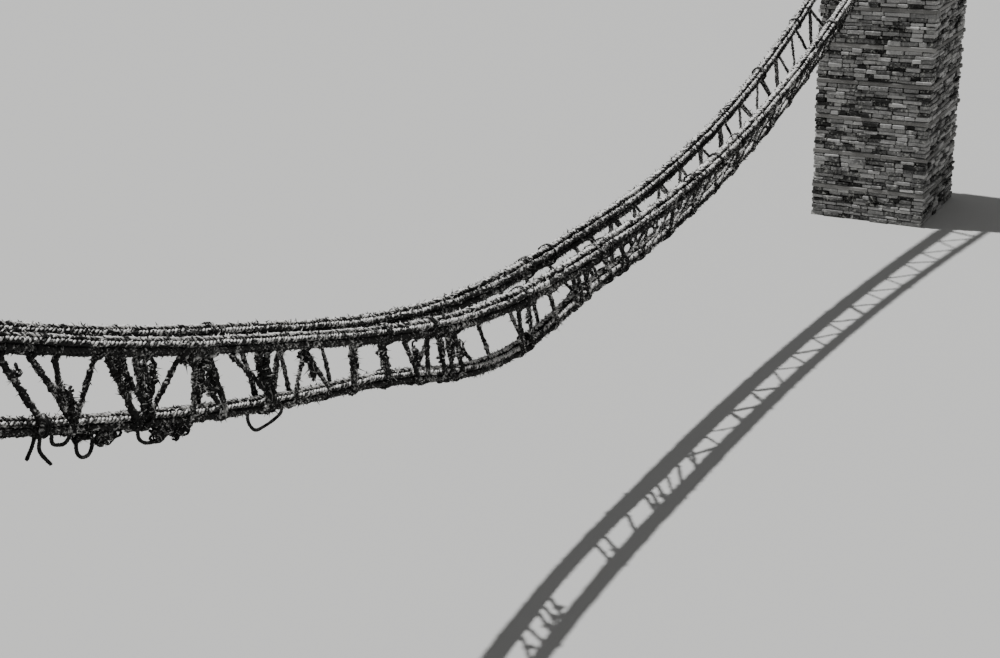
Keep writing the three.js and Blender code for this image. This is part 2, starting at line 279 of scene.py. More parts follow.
class CableLine:
    """A cable's centre line: down behind one abutment, over its saddles, across, and down again."""

    STEP = 0.02
    ROUNDING = 0.2
    END_GAP = 0.0005
    # How much thicker it grows, over places along the span.
    SWELL = ((-13.0, 0.0), (-8.0, 0.06), (-5.5, 0.36), (-3.5, 0.52), (1.5, 0.52), (5.0, 0.34), (14, 0.1))

    def __init__(self, hang: Hang, side: int, swell: float) -> None:
        """Lays the line.

        Args:
            hang: How it hangs.
            side: The sign of its Y, or 0 for the foot cable.
            swell: The share of the swell about mid span, where the ropes spread, that it has.
        """
        turn = np.linspace(backstay_slope(hang.saddle_z), math.pi / 2, 12)
        log_x = ANCHOR_X + ANCHOR_REACH * np.sin(turn)
        log_z = ANCHOR_Z + ANCHOR_REACH * np.cos(turn)
        back_x = np.concatenate([[SADDLE_BACK], log_x, log_x[-1:]])
        back_z = np.concatenate([[hang.saddle_z], log_z, [LEDGE_Z + self.END_GAP]])
        span = np.linspace(-SADDLE_FRONT, SADDLE_FRONT, 999)
        xs = np.concatenate([-back_x[::-1], span, back_x])
        zs = np.concatenate([back_z[::-1], hang.z(span), back_z])
        self.points = evenly(np.column_stack([xs, side * rail_out(xs), zs]), self.STEP, self.ROUNDING)
        self.girth = 1 + swell * np.interp(self.points[:, 0], *zip(*self.SWELL), right=0.0)
        self.s = lengths_along(self.points)
        along = units(np.gradient(self.points, axis=0))
        self.across = units(np.array([0.0, 1.0, 0.0]) - along * along[:, 1:2])
        self.above = np.cross(along, self.across)
        self.length = float(self.s[-1])

    def place(self, s: np.ndarray, across: np.ndarray, above: np.ndarray) -> np.ndarray:
        """Finds points beside the line.

        Args:
            s: How far along the line each one is.
            across: How far it is to the line's left, where the cable isn't swollen.
            above: How far it is above the line, where the cable isn't swollen.

        Returns:
            The points, one a row.
        """
        girth = self.girth_at(s)
        parts = []
        for i in range(3):
            centre, left, up = (
                np.interp(s, self.s, rows[:, i]) for rows in (self.points, self.across, self.above)
            )
            parts.append(centre + girth * (across * left + above * up))
        return np.column_stack(parts)

    def girth_at(self, s: np.ndarray) -> np.ndarray:
        """Returns how many times its usual girth the cable has at each length along it."""
        return np.interp(s, self.s, self.girth)

    def round(self, s: np.ndarray, angle: np.ndarray, reach: np.ndarray) -> np.ndarray:
        """Returns points round the line, at angles from its left side upwards."""
        return self.place(s, reach * np.cos(angle), reach * np.sin(angle))

    def at_x(self, x: float) -> float:
        """Returns how far along the line the place over x is."""
        return float(np.interp(x, self.points[:, 0], self.s))


FOOT_LINE = CableLine(FOOT_HANG, 0, 0.5)
RAIL_LINES = {side: CableLine(RAIL_HANG, side.value, 1.0) for side in Side}

Inputs = dict[Union[str, int], Union[float, Sequence[float], bpy.types.NodeSocket]]


@dataclass(frozen=True)
class NodeSheet:
    """The nodes of one material.

    Attributes:
        tree: The material's node tree.
    """

    tree: bpy.types.NodeTree

    def feed(self, node: bpy.types.Node, inputs: Inputs) -> None:
        """Fills a node's inputs.

        Args:
            node: The node.
            inputs: What each of them holds: a value, or the output that feeds it.
        """
        for name, value in inputs.items():
            if isinstance(value, bpy.types.NodeSocket):
                self.tree.links.new(value, node.inputs[name])
            else:
                node.inputs[name].default_value = value

    def add(
        self, kind: str, inputs: Inputs, output: Union[str, int], **settings: str
    ) -> bpy.types.NodeSocket:
        """Adds a node.

        Args:
            kind: Its type, without what the types of all shader nodes start with.
            inputs: What each of its inputs holds: a value, or the output that feeds it.
            output: Which of its outputs to return.
            settings: Its settings by name.

        Returns:
            That output.
        """
        node = self.tree.nodes.new(f"ShaderNode{kind}")
        for name, value in settings.items():
            setattr(node, name, value)
        self.feed(node, inputs)
        return node.outputs[output]

    def noise(self, place: bpy.types.NodeSocket, scale: float, detail: float) -> bpy.types.NodeSocket:
        """Returns a noise of that many marks to the metre, read at a place."""
        inputs = {"Vector": place, "Scale": scale, "Detail": detail, "Roughness": 0.62}
        return self.add("TexNoise", inputs, "Fac")

    def attribute(self, name: str) -> bpy.types.NodeSocket:
        """Returns the value of one of the piece's own attributes."""
        return self.add("Attribute", {}, "Fac", attribute_name=name)

    def total(self, parts: Iterable[tuple[bpy.types.NodeSocket, float]]) -> bpy.types.NodeSocket:
        """Adds values together.

        Args:
            parts: Each value and its weight.

        Returns:
            The sum.
        """
        total = 0.0
        for value, weight in parts:
            total = self.add("Math", {0: value, 1: weight, 2: total}, 0, operation="MULTIPLY_ADD")
        return total

    def ramp(
        self, share: bpy.types.NodeSocket, dark: Sequence[float], light: Sequence[float]
    ) -> bpy.types.NodeSocket:
        """Mixes two colours.

        Args:
            share: How much of the pale one there is, from 0 to 1.
            dark: The dark colour.
            light: The pale colour.

        Returns:
            The mixed colour.
        """
        node = self.tree.nodes.new("ShaderNodeValToRGB")
        for element, colour in zip(node.color_ramp.elements, (dark, light)):
            element.color = (*colour, 1.0)
        self.feed(node, {"Fac": share})
        return node.outputs["Color"]


@dataclass(frozen=True)
class Finish:
    """A weathered finish: two colours mixed by patches, fine marks and each part's own tone, and on some by
    painted sunlight.

    Attributes:
        name: The material's name.
        dark: The colour of its dark places.
        light: The colour of its pale places.
        patches: Patches of colour to the metre.
        marks: Fine marks to the metre.
        stretch: How much closer the marks lie along each axis.
        relief: The height of the marks, in metres.
        lichen: How much of it pale spots cover, from 0 to 1.
        roughness: How dull it is.
        weathered: Whether its upper sides get painted sunlight, as its pieces' attribute says.
    """

    name: str
    dark: tuple[float, float, float]
    light: tuple[float, float, float]
    patches: float
    marks: float
    stretch: tuple[float, float, float] = (1.0, 1.0, 1.0)
    relief: float = 0.004
    lichen: float = 0.0
    roughness: float = 0.92
    weathered: bool = False

    # What patches, marks, tone and painted sunlight count for, and where between their sums the colours
    # mix.
    PLAIN = ((0.42, 0.5, 0.62), (0.52, 1.0))
    WEATHERED = ((1.3, 2.2, 0.45, 1.0), (2.17, 2.55))
    SHINE = 0.25
    WEATHERED_SHINE = 0.04
    BUMP = 0.9
    LICHEN_COLOUR = (0.52, 0.52, 0.49, 1.0)
    LICHEN_SPOTS = 9.0
    LICHEN_EDGE = (0.62, 0.70)
    LICHEN_SPREAD = 0.16
    LICHEN_COVER = 0.6

    def build(self) -> bpy.types.Material:
        """Makes the material, of nodes on the piece's own coordinates and attributes.

        Returns:
            The material.
        """
        material = bpy.data.materials.new(self.name)
        material.use_nodes = True
        sheet = NodeSheet(material.node_tree)
        place = sheet.add("TexCoord", {}, "Object")
        stretched = sheet.add("Mapping", {"Vector": place, "Scale": self.stretch}, "Vector")
        patches = sheet.noise(place, self.patches, 3.0)
        marks = sheet.noise(stretched, self.marks, 4.0)
        values = [patches, marks, sheet.attribute("tone")]
        weights, (low, high) = self.PLAIN
        if self.weathered:
            values.append(sheet.attribute("bleach"))
            weights, (low, high) = self.WEATHERED
        fit = {"Value": sheet.total(zip(values, weights)), "From Min": low, "From Max": high}
        colour = sheet.ramp(sheet.add("MapRange", fit, "Result"), self.dark, self.light)
        if self.lichen > 0:
            colour = self._spotted(sheet, place, colour)
        bump = {"Strength": self.BUMP, "Distance": self.relief, "Height": marks}
        shader = material.node_tree.nodes["Principled BSDF"]
        shader.inputs["Roughness"].default_value = self.roughness
        shine = self.WEATHERED_SHINE if self.weathered else self.SHINE
        shader.inputs["Specular IOR Level"].default_value = shine
        sheet.feed(shader, {"Base Color": colour, "Normal": sheet.add("Bump", bump, "Normal")})
        return material

    def _spotted(
        self, sheet: NodeSheet, place: bpy.types.NodeSocket, colour: bpy.types.NodeSocket
    ) -> bpy.types.NodeSocket:
        """Lays pale lichen spots over a colour.

        Args:
            sheet: The material's nodes.
            place: Where the spots are read.
            colour: The colour under them.

        Returns:
            The spotted colour.
        """
        low, high = (edge - self.LICHEN_SPREAD * self.lichen for edge in self.LICHEN_EDGE)
        edge = {
            "Value": sheet.noise(place, self.LICHEN_SPOTS, 5.0),
            "From Min": low,
            "From Max": high,
            "To Max": self.LICHEN_COVER,
        }
        share = sheet.add("MapRange", edge, "Result")
        mix = {"Factor": share, 6: colour, 7: self.LICHEN_COLOUR}
        return sheet.add("Mix", mix, 2, data_type="RGBA")


class Palette:
    """The bridge's finishes, each built once."""

    # The colours, patches and marks of the cables' ropes, and the darker colour painted on the side and
    # slack ropes as painted shade.
    CABLE = ((0.032, 0.0316, 0.031), (0.80, 0.79, 0.77), 1.8, 22)
    SHADED = (0.02, 0.0198, 0.0194)
    FINISHES = {
        "handrail_rope": Finish("rail_twig_rope", *CABLE, relief=0.006, weathered=True),
        "foot_rope": Finish("foot_twig_rope", *CABLE, relief=0.006, weathered=True),
        "lacing_rope": Finish(
            "side_rope", SHADED, (0.62, 0.614, 0.6), 3, 26, relief=0.005, weathered=True
        ),
        "slack_rope": Finish("slack_rope", SHADED, (0.14, 0.138, 0.134), 3, 26, weathered=True),
        "dry_stone": Finish(
            "dry_slab_stone", (0.025, 0.0247, 0.0242), (0.42, 0.417, 0.41), 1.6, 18,
            relief=0.009, lichen=0.4,
        ),
        "lacing_timber": Finish(
            "split_timber", (0.07, 0.069, 0.066), (0.30, 0.295, 0.285), 3, 30, relief=0.006
        ),
        "log_wood": Finish(
            "worn_log", (0.08, 0.079, 0.076), (0.36, 0.353, 0.34), 4, 35, (6, 0.5, 6), 0.006
        ),
    }

    def __init__(self) -> None:
        """Starts with no material built."""
        self.built: dict[str, bpy.types.Material] = {}

    def dress(self, piece: bpy.types.Object, slot: str) -> None:
        """Gives a piece the finish of a slot.

        Args:
            piece: The piece.
            slot: The slot.
        """
        if slot not in self.built:
            self.built[slot] = self.FINISHES[slot].build()
        piece.data.materials.clear()
        piece.data.materials.append(self.built[slot])

    def stand_in(self, piece: bpy.types.Object, slot: str, node: str) -> None:
        """Dresses a piece, puts it in place of its solid, and reports it.

        Args:
            piece: The piece.
            slot: The slot of its finish.
            node: The solid's name.
        """
        self.dress(piece, slot)
        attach(piece, "root")
        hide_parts(node)
        LOG.info("%s: %d faces in place of %s", piece.name, len(piece.data.polygons), node)


def set_shade(mesh: bpy.types.Mesh, name: str, values: np.ndarray) -> None:
    """Writes a value from 0 to 1 for each vertex of a mesh.

    Args:
        mesh: The mesh.
        name: The attribute: tone, from dark to pale, or bleach, painted sunlight from shade to full sun.
        values: The values.
    """
    attribute = mesh.attributes.new(name, "FLOAT", "POINT")
    attribute.data.foreach_set("value", np.clip(values, 0, 1).astype(np.float32))


def linked(name: str, mesh: Union[bpy.types.Mesh, bpy.types.Curve]) -> bpy.types.Object:
    """Puts a mesh or a curve in the scene.

    Args:
        name: The name of its object.
        mesh: The mesh or the curve.

    Returns:
        The object.
    """
    piece = bpy.data.objects.new(name, mesh)
    bpy.context.collection.objects.link(piece)
    return piece


def joined(pieces: Sequence[bpy.types.Object]) -> bpy.types.Object:
    """Joins objects into the first of them.

    Args:
        pieces: The objects.

    Returns:
        The first.
    """
    with bpy.context.temp_override(
        active_object=pieces[0], selected_objects=pieces, selected_editable_objects=pieces
    ):
        bpy.ops.object.join()
    return pieces[0]


@dataclass
class Strand:
    """One round strand of rope.

    Attributes:
        line: Its centre line.
        radius: Its radius at each point.
        axis: The centre line of the rope that it is laid in, or None.
        tone: How pale it is, from 0 to 1.
        exposure: How far the painted sunlight reaches it, from 0 to 1, along it or in all.
    """

    line: np.ndarray
    radius: np.ndarray
    axis: Optional[np.ndarray] = None
    tone: float = 0.5
    exposure: Union[float, np.ndarray] = 0.5

    # Where on a strand the painted sunlight starts and how far it takes to grow, and how much painted shade
    # darkens it from its crest in towards its neighbours.
    LIT_FROM = -0.1
    LIT_OVER = 0.6
    CREST_OVER = 0.7
    CREST_TONE = 0.3

    def shades(self, places: np.ndarray, sides: int) -> tuple[np.ndarray, np.ndarray]:
        """Works out its tone and painted sunlight: painted shade where it turns in to its neighbours, paler
        on its crest.

        Args:
            places: The corners of its mesh, in order along it.
            sides: How many of them stand round each of its points.

        Returns:
            The tone, with its painted shade, and the painted sunlight of each corner.
        """
        thick = np.repeat(self.radius, sides)
        upward = (places[:, 2] - np.repeat(self.line[:, 2], sides)) / thick
        exposure = np.repeat(np.broadcast_to(self.exposure, len(self.line)), sides)
        tone = np.full(len(places), self.tone)
        # Painted sunlight on its upper side, as far as its exposure lets it.
        bleach = np.clip((upward - self.LIT_FROM) / self.LIT_OVER, 0, 1) * exposure
        if self.axis is not None:
            off = np.linalg.norm(self.line - self.axis, axis=1)
            reach = np.linalg.norm(places - np.repeat(self.axis, sides, axis=0), axis=1)
            crest = (reach - np.repeat(off, sides)) / thick
            # Painted shade: darker where it turns in towards its neighbours and paler on its crest, where
            # alone the painted sunlight stays.
            tone += self.CREST_TONE * crest
            bleach *= np.clip((crest - self.LIT_FROM) / self.CREST_OVER, 0, 1)
        return tone, bleach


# How pale the cut ends of strands are.
CAP_TONE = 0.3


def strands_piece(name: str, strands: Sequence[Strand], detail: int = 0) -> bpy.types.Object:
    """Makes one piece of many strands.

    Args:
        name: The piece's name.
        strands: The strands.
        detail: 0 for four-sided strands and 1 for six-sided ones.

    Returns:
        The piece.
    """
    curve = bpy.data.curves.new(f"{name}_lines", "CURVE")
    curve.dimensions = "3D"
    curve.bevel_depth = 1.0
    curve.bevel_resolution = detail
    curve.use_fill_caps = True
    for strand in strands:
        spline = curve.splines.new("POLY")
        spline.points.add(len(strand.line) - 1)
        spline.points.foreach_set("co", np.column_stack([strand.line, np.ones(len(strand.line))]).ravel())
        spline.points.foreach_set("radius", strand.radius)
    shaper = linked(f"{name}_shaper", curve)
    mesh = bpy.data.meshes.new_from_object(shaper.evaluated_get(bpy.context.evaluated_depsgraph_get()))
    bpy.data.objects.remove(shaper)
    bpy.data.curves.remove(curve)
    mesh.name = name
    sides = 4 + 2 * detail
    count = len(mesh.vertices)
    places = np.empty(count * 3, dtype=np.float32)
    mesh.vertices.foreach_get("co", places)
    places = places.reshape(-1, 3)
    tone = np.full(count, CAP_TONE)
    bleach = np.zeros(count)
    # The caps' vertices come before all the strands'.
    start = count - sides * sum(len(strand.line) for strand in strands)
    for strand in strands:
        end = start + len(strand.line) * sides
        tone[start:end], bleach[start:end] = strand.shades(places[start:end], sides)
        start = end
    # Each corner's painted sunlight, and its tone with painted shade between the strands.
    set_shade(mesh, "bleach", bleach)
    set_shade(mesh, "tone", tone)
    mesh.polygons.foreach_set("use_smooth", [True] * len(mesh.polygons))
    return linked(name, mesh)


# A strand's thickness: as a share of its rope's, at its ends, and at the least.
STRAND_SHARE = 0.6
END_TAPER = 0.55
LEAST_THICKNESS = 0.5


def twisted(
    line: np.ndarray, rng: np.random.Generator, radius: float, pitch: float, tone: float, rough: float
) -> list[Strand]:
    """Lays three strands twisted round a line.

    Args:
        line: The rope's centre line, at even steps.
        rng: The source of its irregularity.
        radius: The rope's radius over its strands.
        pitch: The length of one full turn.
        tone: How pale the rope is.
        rough: How uneven the rope is.

    Returns:
        The strands.
    """
    first, second = carried_frames(line)
    count = len(line)
    s = np.linspace(0, lengths_along(line)[-1], count)
    strand_radius = radius * STRAND_SHARE
    offset = radius - strand_radius
    lumps = 1 + rough * Wobble(rng, 0.16, 0.4, 0.06).at(s)
    hand = rng.choice([-1, 1])
    made = []
    for i in range(3):
        turn = hand * 2 * math.pi * s / pitch + 2 * math.pi * i / 3 + rng.uniform(0, 0.5) * rough
        reach = offset * (1 + 0.12 * rough * rng.standard_normal(count))
        path = line + first * (reach * np.cos(turn))[:, None] + second * (reach * np.sin(turn))[:, None]
        thick = strand_radius * lumps * (1 + 0.1 * rough * rng.standard_normal(count))
        thick[[0, -1]] *= END_TAPER
        thick = np.maximum(thick, strand_radius * LEAST_THICKNESS)
        made.append(Strand(path, thick, line, tone + rng.uniform(-0.1, 0.1)))
    return made


def spike_prototype() -> tuple[np.ndarray, np.ndarray]:
    """Makes a three-sided spike of unit length and width along +Z.

    Returns:
        Its corners, and the corners of each face.
    """
    shape = bmesh.new()
    bmesh.ops.create_cone(shape, cap_ends=True, segments=3, radius1=1.0, radius2=0.0, depth=1.0)
    bmesh.ops.translate(shape, vec=(0, 0, 0.5), verts=shape.verts)
    bmesh.ops.remove_doubles(shape, verts=shape.verts, dist=1e-4)
    bmesh.ops.triangulate(shape, faces=shape.faces)
    shape.verts.index_update()
    corners = np.array([v.co[:] for v in shape.verts])
    faces = np.array([[v.index for v in f.verts] for f in shape.faces])
    shape.free()
    return corners, faces


@dataclass
class Twigs:
    """Loose twig ends that stand out of a rope.

    Attributes:
        roots: Where each twig leaves its rope.
        tips: Where each twig ends.
        tone: How pale each twig is.
        bleach: How much painted sunlight each twig has.
        width: A twig's radius at its root.
    """

    roots: np.ndarray
    tips: np.ndarray
    tone: np.ndarray
    bleach: np.ndarray
    width: float = 0.0105

    def piece(self, name: str) -> bpy.types.Object:
        """Makes one piece of the twigs.

        Args:
            name: The piece's name.

        Returns:
            The piece.
        """
        corners, faces = spike_prototype()
        along = self.tips - self.roots
        unit = units(along)
        helper = np.where(np.abs(unit[:, 2:3]) < 0.8, [[0.0, 0.0, 1.0]], [[1.0, 0.0, 0.0]])
        first = units(np.cross(unit, helper))
        second = np.cross(unit, first)
        axes = np.stack([self.width * first, self.width * second, along], axis=1)
        places = self.roots[:, None] + corners @ axes
        shifts = np.arange(len(self.roots))[:, None, None] * len(corners)
        mesh = bpy.data.meshes.new(name)
        mesh.from_pydata(places.reshape(-1, 3).tolist(), [], (faces + shifts).reshape(-1, 3).tolist())
        set_shade(mesh, "tone", np.repeat(self.tone, len(corners)))
        set_shade(mesh, "bleach", np.repeat(self.bleach, len(corners)))
        return linked(name, mesh)


# How high in a cable the painted sunlight starts, over places along the span; lower down it is painted
# shade.
RAIL_SHADE = ((-11.0, -0.006), (-7.0, 0.01), (-3.0, 0.036), (2.0, 0.03), (7.0, 0.006))
FOOT_SHADE = ((-11.0, 0.018), (-7.0, 0.014), (-3.0, 0.0))
# A furrow with no painted shade, as pale as the crests beside it.
OPEN_FURROW = -0.3


@dataclass
class Cable:
    """A cable of seven twisted twig ropes, the middle one hidden.

    Attributes:
        name: What the names of its ropes start with.
        line: Its centre line.
        slot: The slot of its finish.
        shade: How high in the cable the painted sunlight starts, over places along the span.
        furrow: How dark the painted shade in the furrows between its ropes is about mid span, from -0.3 to
            0.3.
        strand_radius: The radius of one of a rope's three strands.
        strand_offset: How far a strand lies from its rope's middle.
        pitch: The length of one turn of the strands.
        step: The distance between the points of a strand.
        stray: How far a rope strays from its place.
        calm: The length at each end over which it strays less.
        mid_span: Where the painted shade in the furrows starts to darken, and from where it is darkest.
        twigs: How many twig ends stand out of each rope.
        bare: The length at each of its ends that has no twig end.
        root_depth: How deep in its rope a twig is rooted.
    """

    name: str
    line: CableLine
    slot: str
    shade: Sequence[tuple[float, float]] = RAIL_SHADE
    furrow: float = 0.3
    strand_radius: float = 0.0168
    strand_offset: float = 0.0198
    pitch: float = 0.168
    step: float = 0.034
    stray: float = 0.006
    calm: float = 0.5
    mid_span: tuple[float, float] = (-9.0, -4.0)
    twigs: int = 900
    bare: float = 0.3
    root_depth: float = 0.008

    # Each choice, and how often it is drawn: shares of painted sunlight on strands and on twig ends, and
    # twig lengths.
    BLEACH = ((0.1, 0.7, 1.0), (0.3, 0.25, 0.45))
    TWIG_BLEACH = ((0.0, 1.0), (0.55, 0.45))
    TWIG_LENGTH = ((0.6, 1.0, 1.5), (0.4, 0.45, 0.15))

    def build(self, palette: Palette) -> None:
        """Makes the six outer ropes in place of their solids.

        Args:
            palette: The finishes.
        """
        for i in range(6):
            name = f"{self.name}_rope_{i + 1}"
            bearing = math.pi / 6 + i * math.pi / 3
            strands = strands_piece(f"{name}_strands", self._rope(name, bearing, 1 if i % 2 else -1))
            twigs = self._fuzz(name, bearing).piece(f"{name}_twigs")
            palette.stand_in(joined([strands, twigs]), self.slot, name)

    def _rope(self, name: str, bearing: float, hand: int) -> list[Strand]:
        """Lays one rope's strands.

        Args:
            name: The rope's name.
            bearing: Its angle round the cable.
            hand: Which way its strands turn, 1 or -1.

        Returns:
            Its three strands.
        """
        rng = seeded(name)
        count = int(self.line.length / self.step)
        s = np.linspace(0, self.line.length, count)
        fade = np.minimum(np.minimum(s, self.line.length - s) / self.calm, 1)
        across = ROPE_PITCH * math.cos(bearing) + Wobble(rng, self.stray, 1.4, 0.3).at(s) * fade
        above = ROPE_PITCH * math.sin(bearing) + Wobble(rng, self.stray, 1.2, 0.3).at(s) * fade
        axis = self.line.place(s, across, above)
        drift = Wobble(rng, 0.5, 3.0, 0.7).at(s)
        swell = 1 + Wobble(rng, 0.09, 0.9, 0.15).at(s)
        girth = self.line.girth_at(s)
        # Painted sunlight on the ropes high in the cable and on their strands' crests, with painted shade
        # in the furrows.
        shade = np.interp(axis[:, 0], *zip(*self.shade))
        furrow = np.interp(axis[:, 0], self.mid_span, (OPEN_FURROW, self.furrow))
        strands = []
        for k in range(3):
            turn = hand * 2 * math.pi * s / self.pitch + drift + 2 * math.pi * k / 3
            reach = self.strand_offset * (1 + 0.07 * rng.standard_normal(count))
            high = above + reach * np.sin(turn)
            path = self.line.place(s, across + reach * np.cos(turn), high)
            thick = self.strand_radius * girth * swell * (1 + 0.09 * rng.standard_normal(count))
            crest = np.clip((np.sin(turn) - furrow) / 0.4, 0, 1)
            exposure = np.clip((high - shade) / 0.04, 0, 1) * crest
            exposure *= self._drawn(rng, self.BLEACH, count)
            strands.append(Strand(path, thick, axis, 0.5 + rng.uniform(-0.1, 0.1), exposure))
        return strands

    @staticmethod
    def _drawn(rng: np.random.Generator, choices: Sequence[Sequence[float]], count: int) -> np.ndarray:
        """Returns values drawn from choices and how often each comes."""
        values, odds = choices
        return rng.choice(values, count, p=odds)

    def _fuzz(self, name: str, bearing: float) -> Twigs:
        """Lays the loose twig ends of one rope.

        Args:
            name: The rope's name.
            bearing: Its angle round the cable.

        Returns:
            The twig ends.
        """
        rng = seeded(f"{name} twigs")
        count = self.twigs
        s = self.bare + (self.line.length - 2 * self.bare) * rng.beta(1.3, 2.0, count)
        off = rng.uniform(-0.5, 0.5, count)
        angle = bearing + off
        skin = np.sqrt(ROPE_HALF**2 - (ROPE_PITCH * np.sin(off)) ** 2 + 1e-9)
        reach = ROPE_PITCH * np.cos(off) + skin - self.root_depth
        length = rng.uniform(0.025, 0.055, count) * self._drawn(rng, self.TWIG_LENGTH, count)
        lean = rng.uniform(-0.9, 0.9, count)
        lift = length * (0.45 + 0.4 * rng.random(count))
        roots = self.line.round(s, angle, reach)
        tips = self.line.round(s + lean * length, angle + rng.uniform(-0.25, 0.25, count), reach + lift)
        # Painted sunlight on the twig ends that point up.
        bleach = np.clip(np.sin(angle), 0, 1) * self._drawn(rng, self.TWIG_BLEACH, count)
        return Twigs(roots, tips, 0.3 + rng.uniform(-0.3, 0.3, count), bleach)


@dataclass(frozen=True)
class Leg:
    """One slanting side rope.

    Attributes:
        rail_x: Where it leaves the handrail.
        foot_x: Where it meets the foot cable.
        radius: Its radius.
        waist_x: Where it passes a knot half way down, or None.
    """

    rail_x: float
    foot_x: float
    radius: float
    waist_x: Optional[float] = None


RIGHT_LEGS = (
    Leg(-12.95, -12.45, 0.044), Leg(-12.61, -12.05, 0.041), Leg(-12.33, -12.09, 0.037, -12.28),
    Leg(-11.85, -12.06, 0.037), Leg(-11.68, -11.28, 0.046), Leg(-11.59, -11.05, 0.037),
    Leg(-11.33, -11.13, 0.041), Leg(-11.2, -11.2, 0.039, -11.06), Leg(-10.72, -11.1, 0.039),
    Leg(-10.61, -10.0, 0.032), Leg(-10.48, -10.45, 0.041), Leg(-10.27, -9.95, 0.041),
    Leg(-9.94, -9.1, 0.037), Leg(-9.52, -9.2, 0.049), Leg(-9.35, -9.25, 0.041),
    Leg(-9.15, -9.17, 0.044), Leg(-8.7, -8.75, 0.034), Leg(-8.68, -8.08, 0.032),
    Leg(-7.77, -7.58, 0.054), Leg(-7.19, -6.83, 0.054), Leg(-6.68, -6.2, 0.041),
    Leg(-6.17, -5.96, 0.041), Leg(-5.9, -5.55, 0.044), Leg(-5.7, -5.35, 0.041), Leg(-5.5, -5.1, 0.041),
    Leg(-3.76, -3.38, 0.041), Leg(-3.46, -3.08, 0.041), Leg(-2.83, -2.27, 0.041),
    Leg(-2.05, -1.6, 0.041), Leg(-1.9, -1.4, 0.041), Leg(-1.65, -1.15, 0.041),
    Leg(-1.38, -0.78, 0.029), Leg(-1.03, -0.33, 0.041), Leg(-0.4, 0.3, 0.039),
)

LEFT_LEGS = (
    Leg(-10.85, -11.15, 0.037), Leg(-9.6, -10.18, 0.039), Leg(-9.08, -9.2, 0.037),
    Leg(-8.4, -8.6, 0.034), Leg(-7.6, -7.8, 0.032), Leg(-6.35, -6.63, 0.046), Leg(-5.0, -5.92, 0.037),
    Leg(-4.9, -4.47, 0.034), Leg(-4.05, -3.97, 0.039), Leg(-3.2, -3.0, 0.041),
    Leg(-2.43, -2.43, 0.039), Leg(-1.7, -1.25, 0.039), Leg(-0.77, -0.53, 0.041),
)


@dataclass(frozen=True)
class Tangle:
    """A knotted clump of side rope.

    Attributes:
        x: Where it is along the span.
        drop: How far down from the handrail it is: 0 at the handrail and 1 at the foot cable.
        width: Half its width.
        height: Half its height.
        cords: How many lengths of cord are knotted in it.
        twigs: How many twig ends stand out of it.
    """

    x: float
    drop: float
    width: float
    height: float
    cords: int
    twigs: int

    DEPTH = 0.05

    @property
    def reach(self) -> np.ndarray:
        """How far it reaches each way along X, Y and Z."""
        return np.array([self.width, self.DEPTH, self.height])


RIGHT_TANGLES = (
    Tangle(-12.76, 0.25, 0.05, 0.06, 1, 16), Tangle(-12.25, 0.52, 0.08, 0.09, 3, 50),
    Tangle(-12.13, 0.74, 0.07, 0.15, 4, 60), Tangle(-11.95, 1.2, 0.15, 0.06, 4, 70),
    Tangle(-11.66, 1.24, 0.15, 0.09, 7, 110), Tangle(-11.57, 0.2, 0.05, 0.14, 2, 60),
    Tangle(-11.42, 0.42, 0.05, 0.16, 2, 60), Tangle(-11.25, 0.3, 0.04, 0.16, 2, 60),
    Tangle(-11.12, 0.75, 0.05, 0.18, 2, 60), Tangle(-11.08, 0.25, 0.04, 0.16, 1, 50),
    Tangle(-10.9, 1.26, 0.14, 0.1, 7, 110), Tangle(-10.62, 1.22, 0.16, 0.11, 7, 120),
    Tangle(-10.6, 0.06, 0.12, 0.04, 2, 50), Tangle(-10.38, 0.06, 0.1, 0.12, 5, 90),
    Tangle(-10.4, 0.45, 0.06, 0.2, 4, 90), Tangle(-10.2, 0.5, 0.05, 0.18, 3, 80),
    Tangle(-9.42, 0.3, 0.08, 0.2, 5, 90), Tangle(-9.25, 0.65, 0.07, 0.2, 5, 90),
    Tangle(-9.2, 1.14, 0.14, 0.04, 2, 50), Tangle(-8.7, 0.12, 0.09, 0.1, 3, 60),
    Tangle(-8.5, 0.45, 0.05, 0.16, 2, 60), Tangle(-7.7, 0.4, 0.05, 0.24, 4, 90),
    Tangle(-7.15, 0.18, 0.07, 0.1, 4, 60), Tangle(-6.35, 0.5, 0.05, 0.2, 3, 80),
    Tangle(-5.75, 0.4, 0.06, 0.2, 2, 80), Tangle(-5.5, 0.4, 0.07, 0.22, 3, 90),
    Tangle(-5.25, 0.5, 0.05, 0.2, 2, 80), Tangle(-3.4, 0.3, 0.04, 0.16, 1, 60),
    Tangle(-1.8, 0.4, 0.07, 0.2, 2, 80), Tangle(-1.45, 0.45, 0.06, 0.18, 2, 60),
)


# Where the slack ropes' loose ends leave the foot cable.
LOOSE_LASHING_X = -12.4


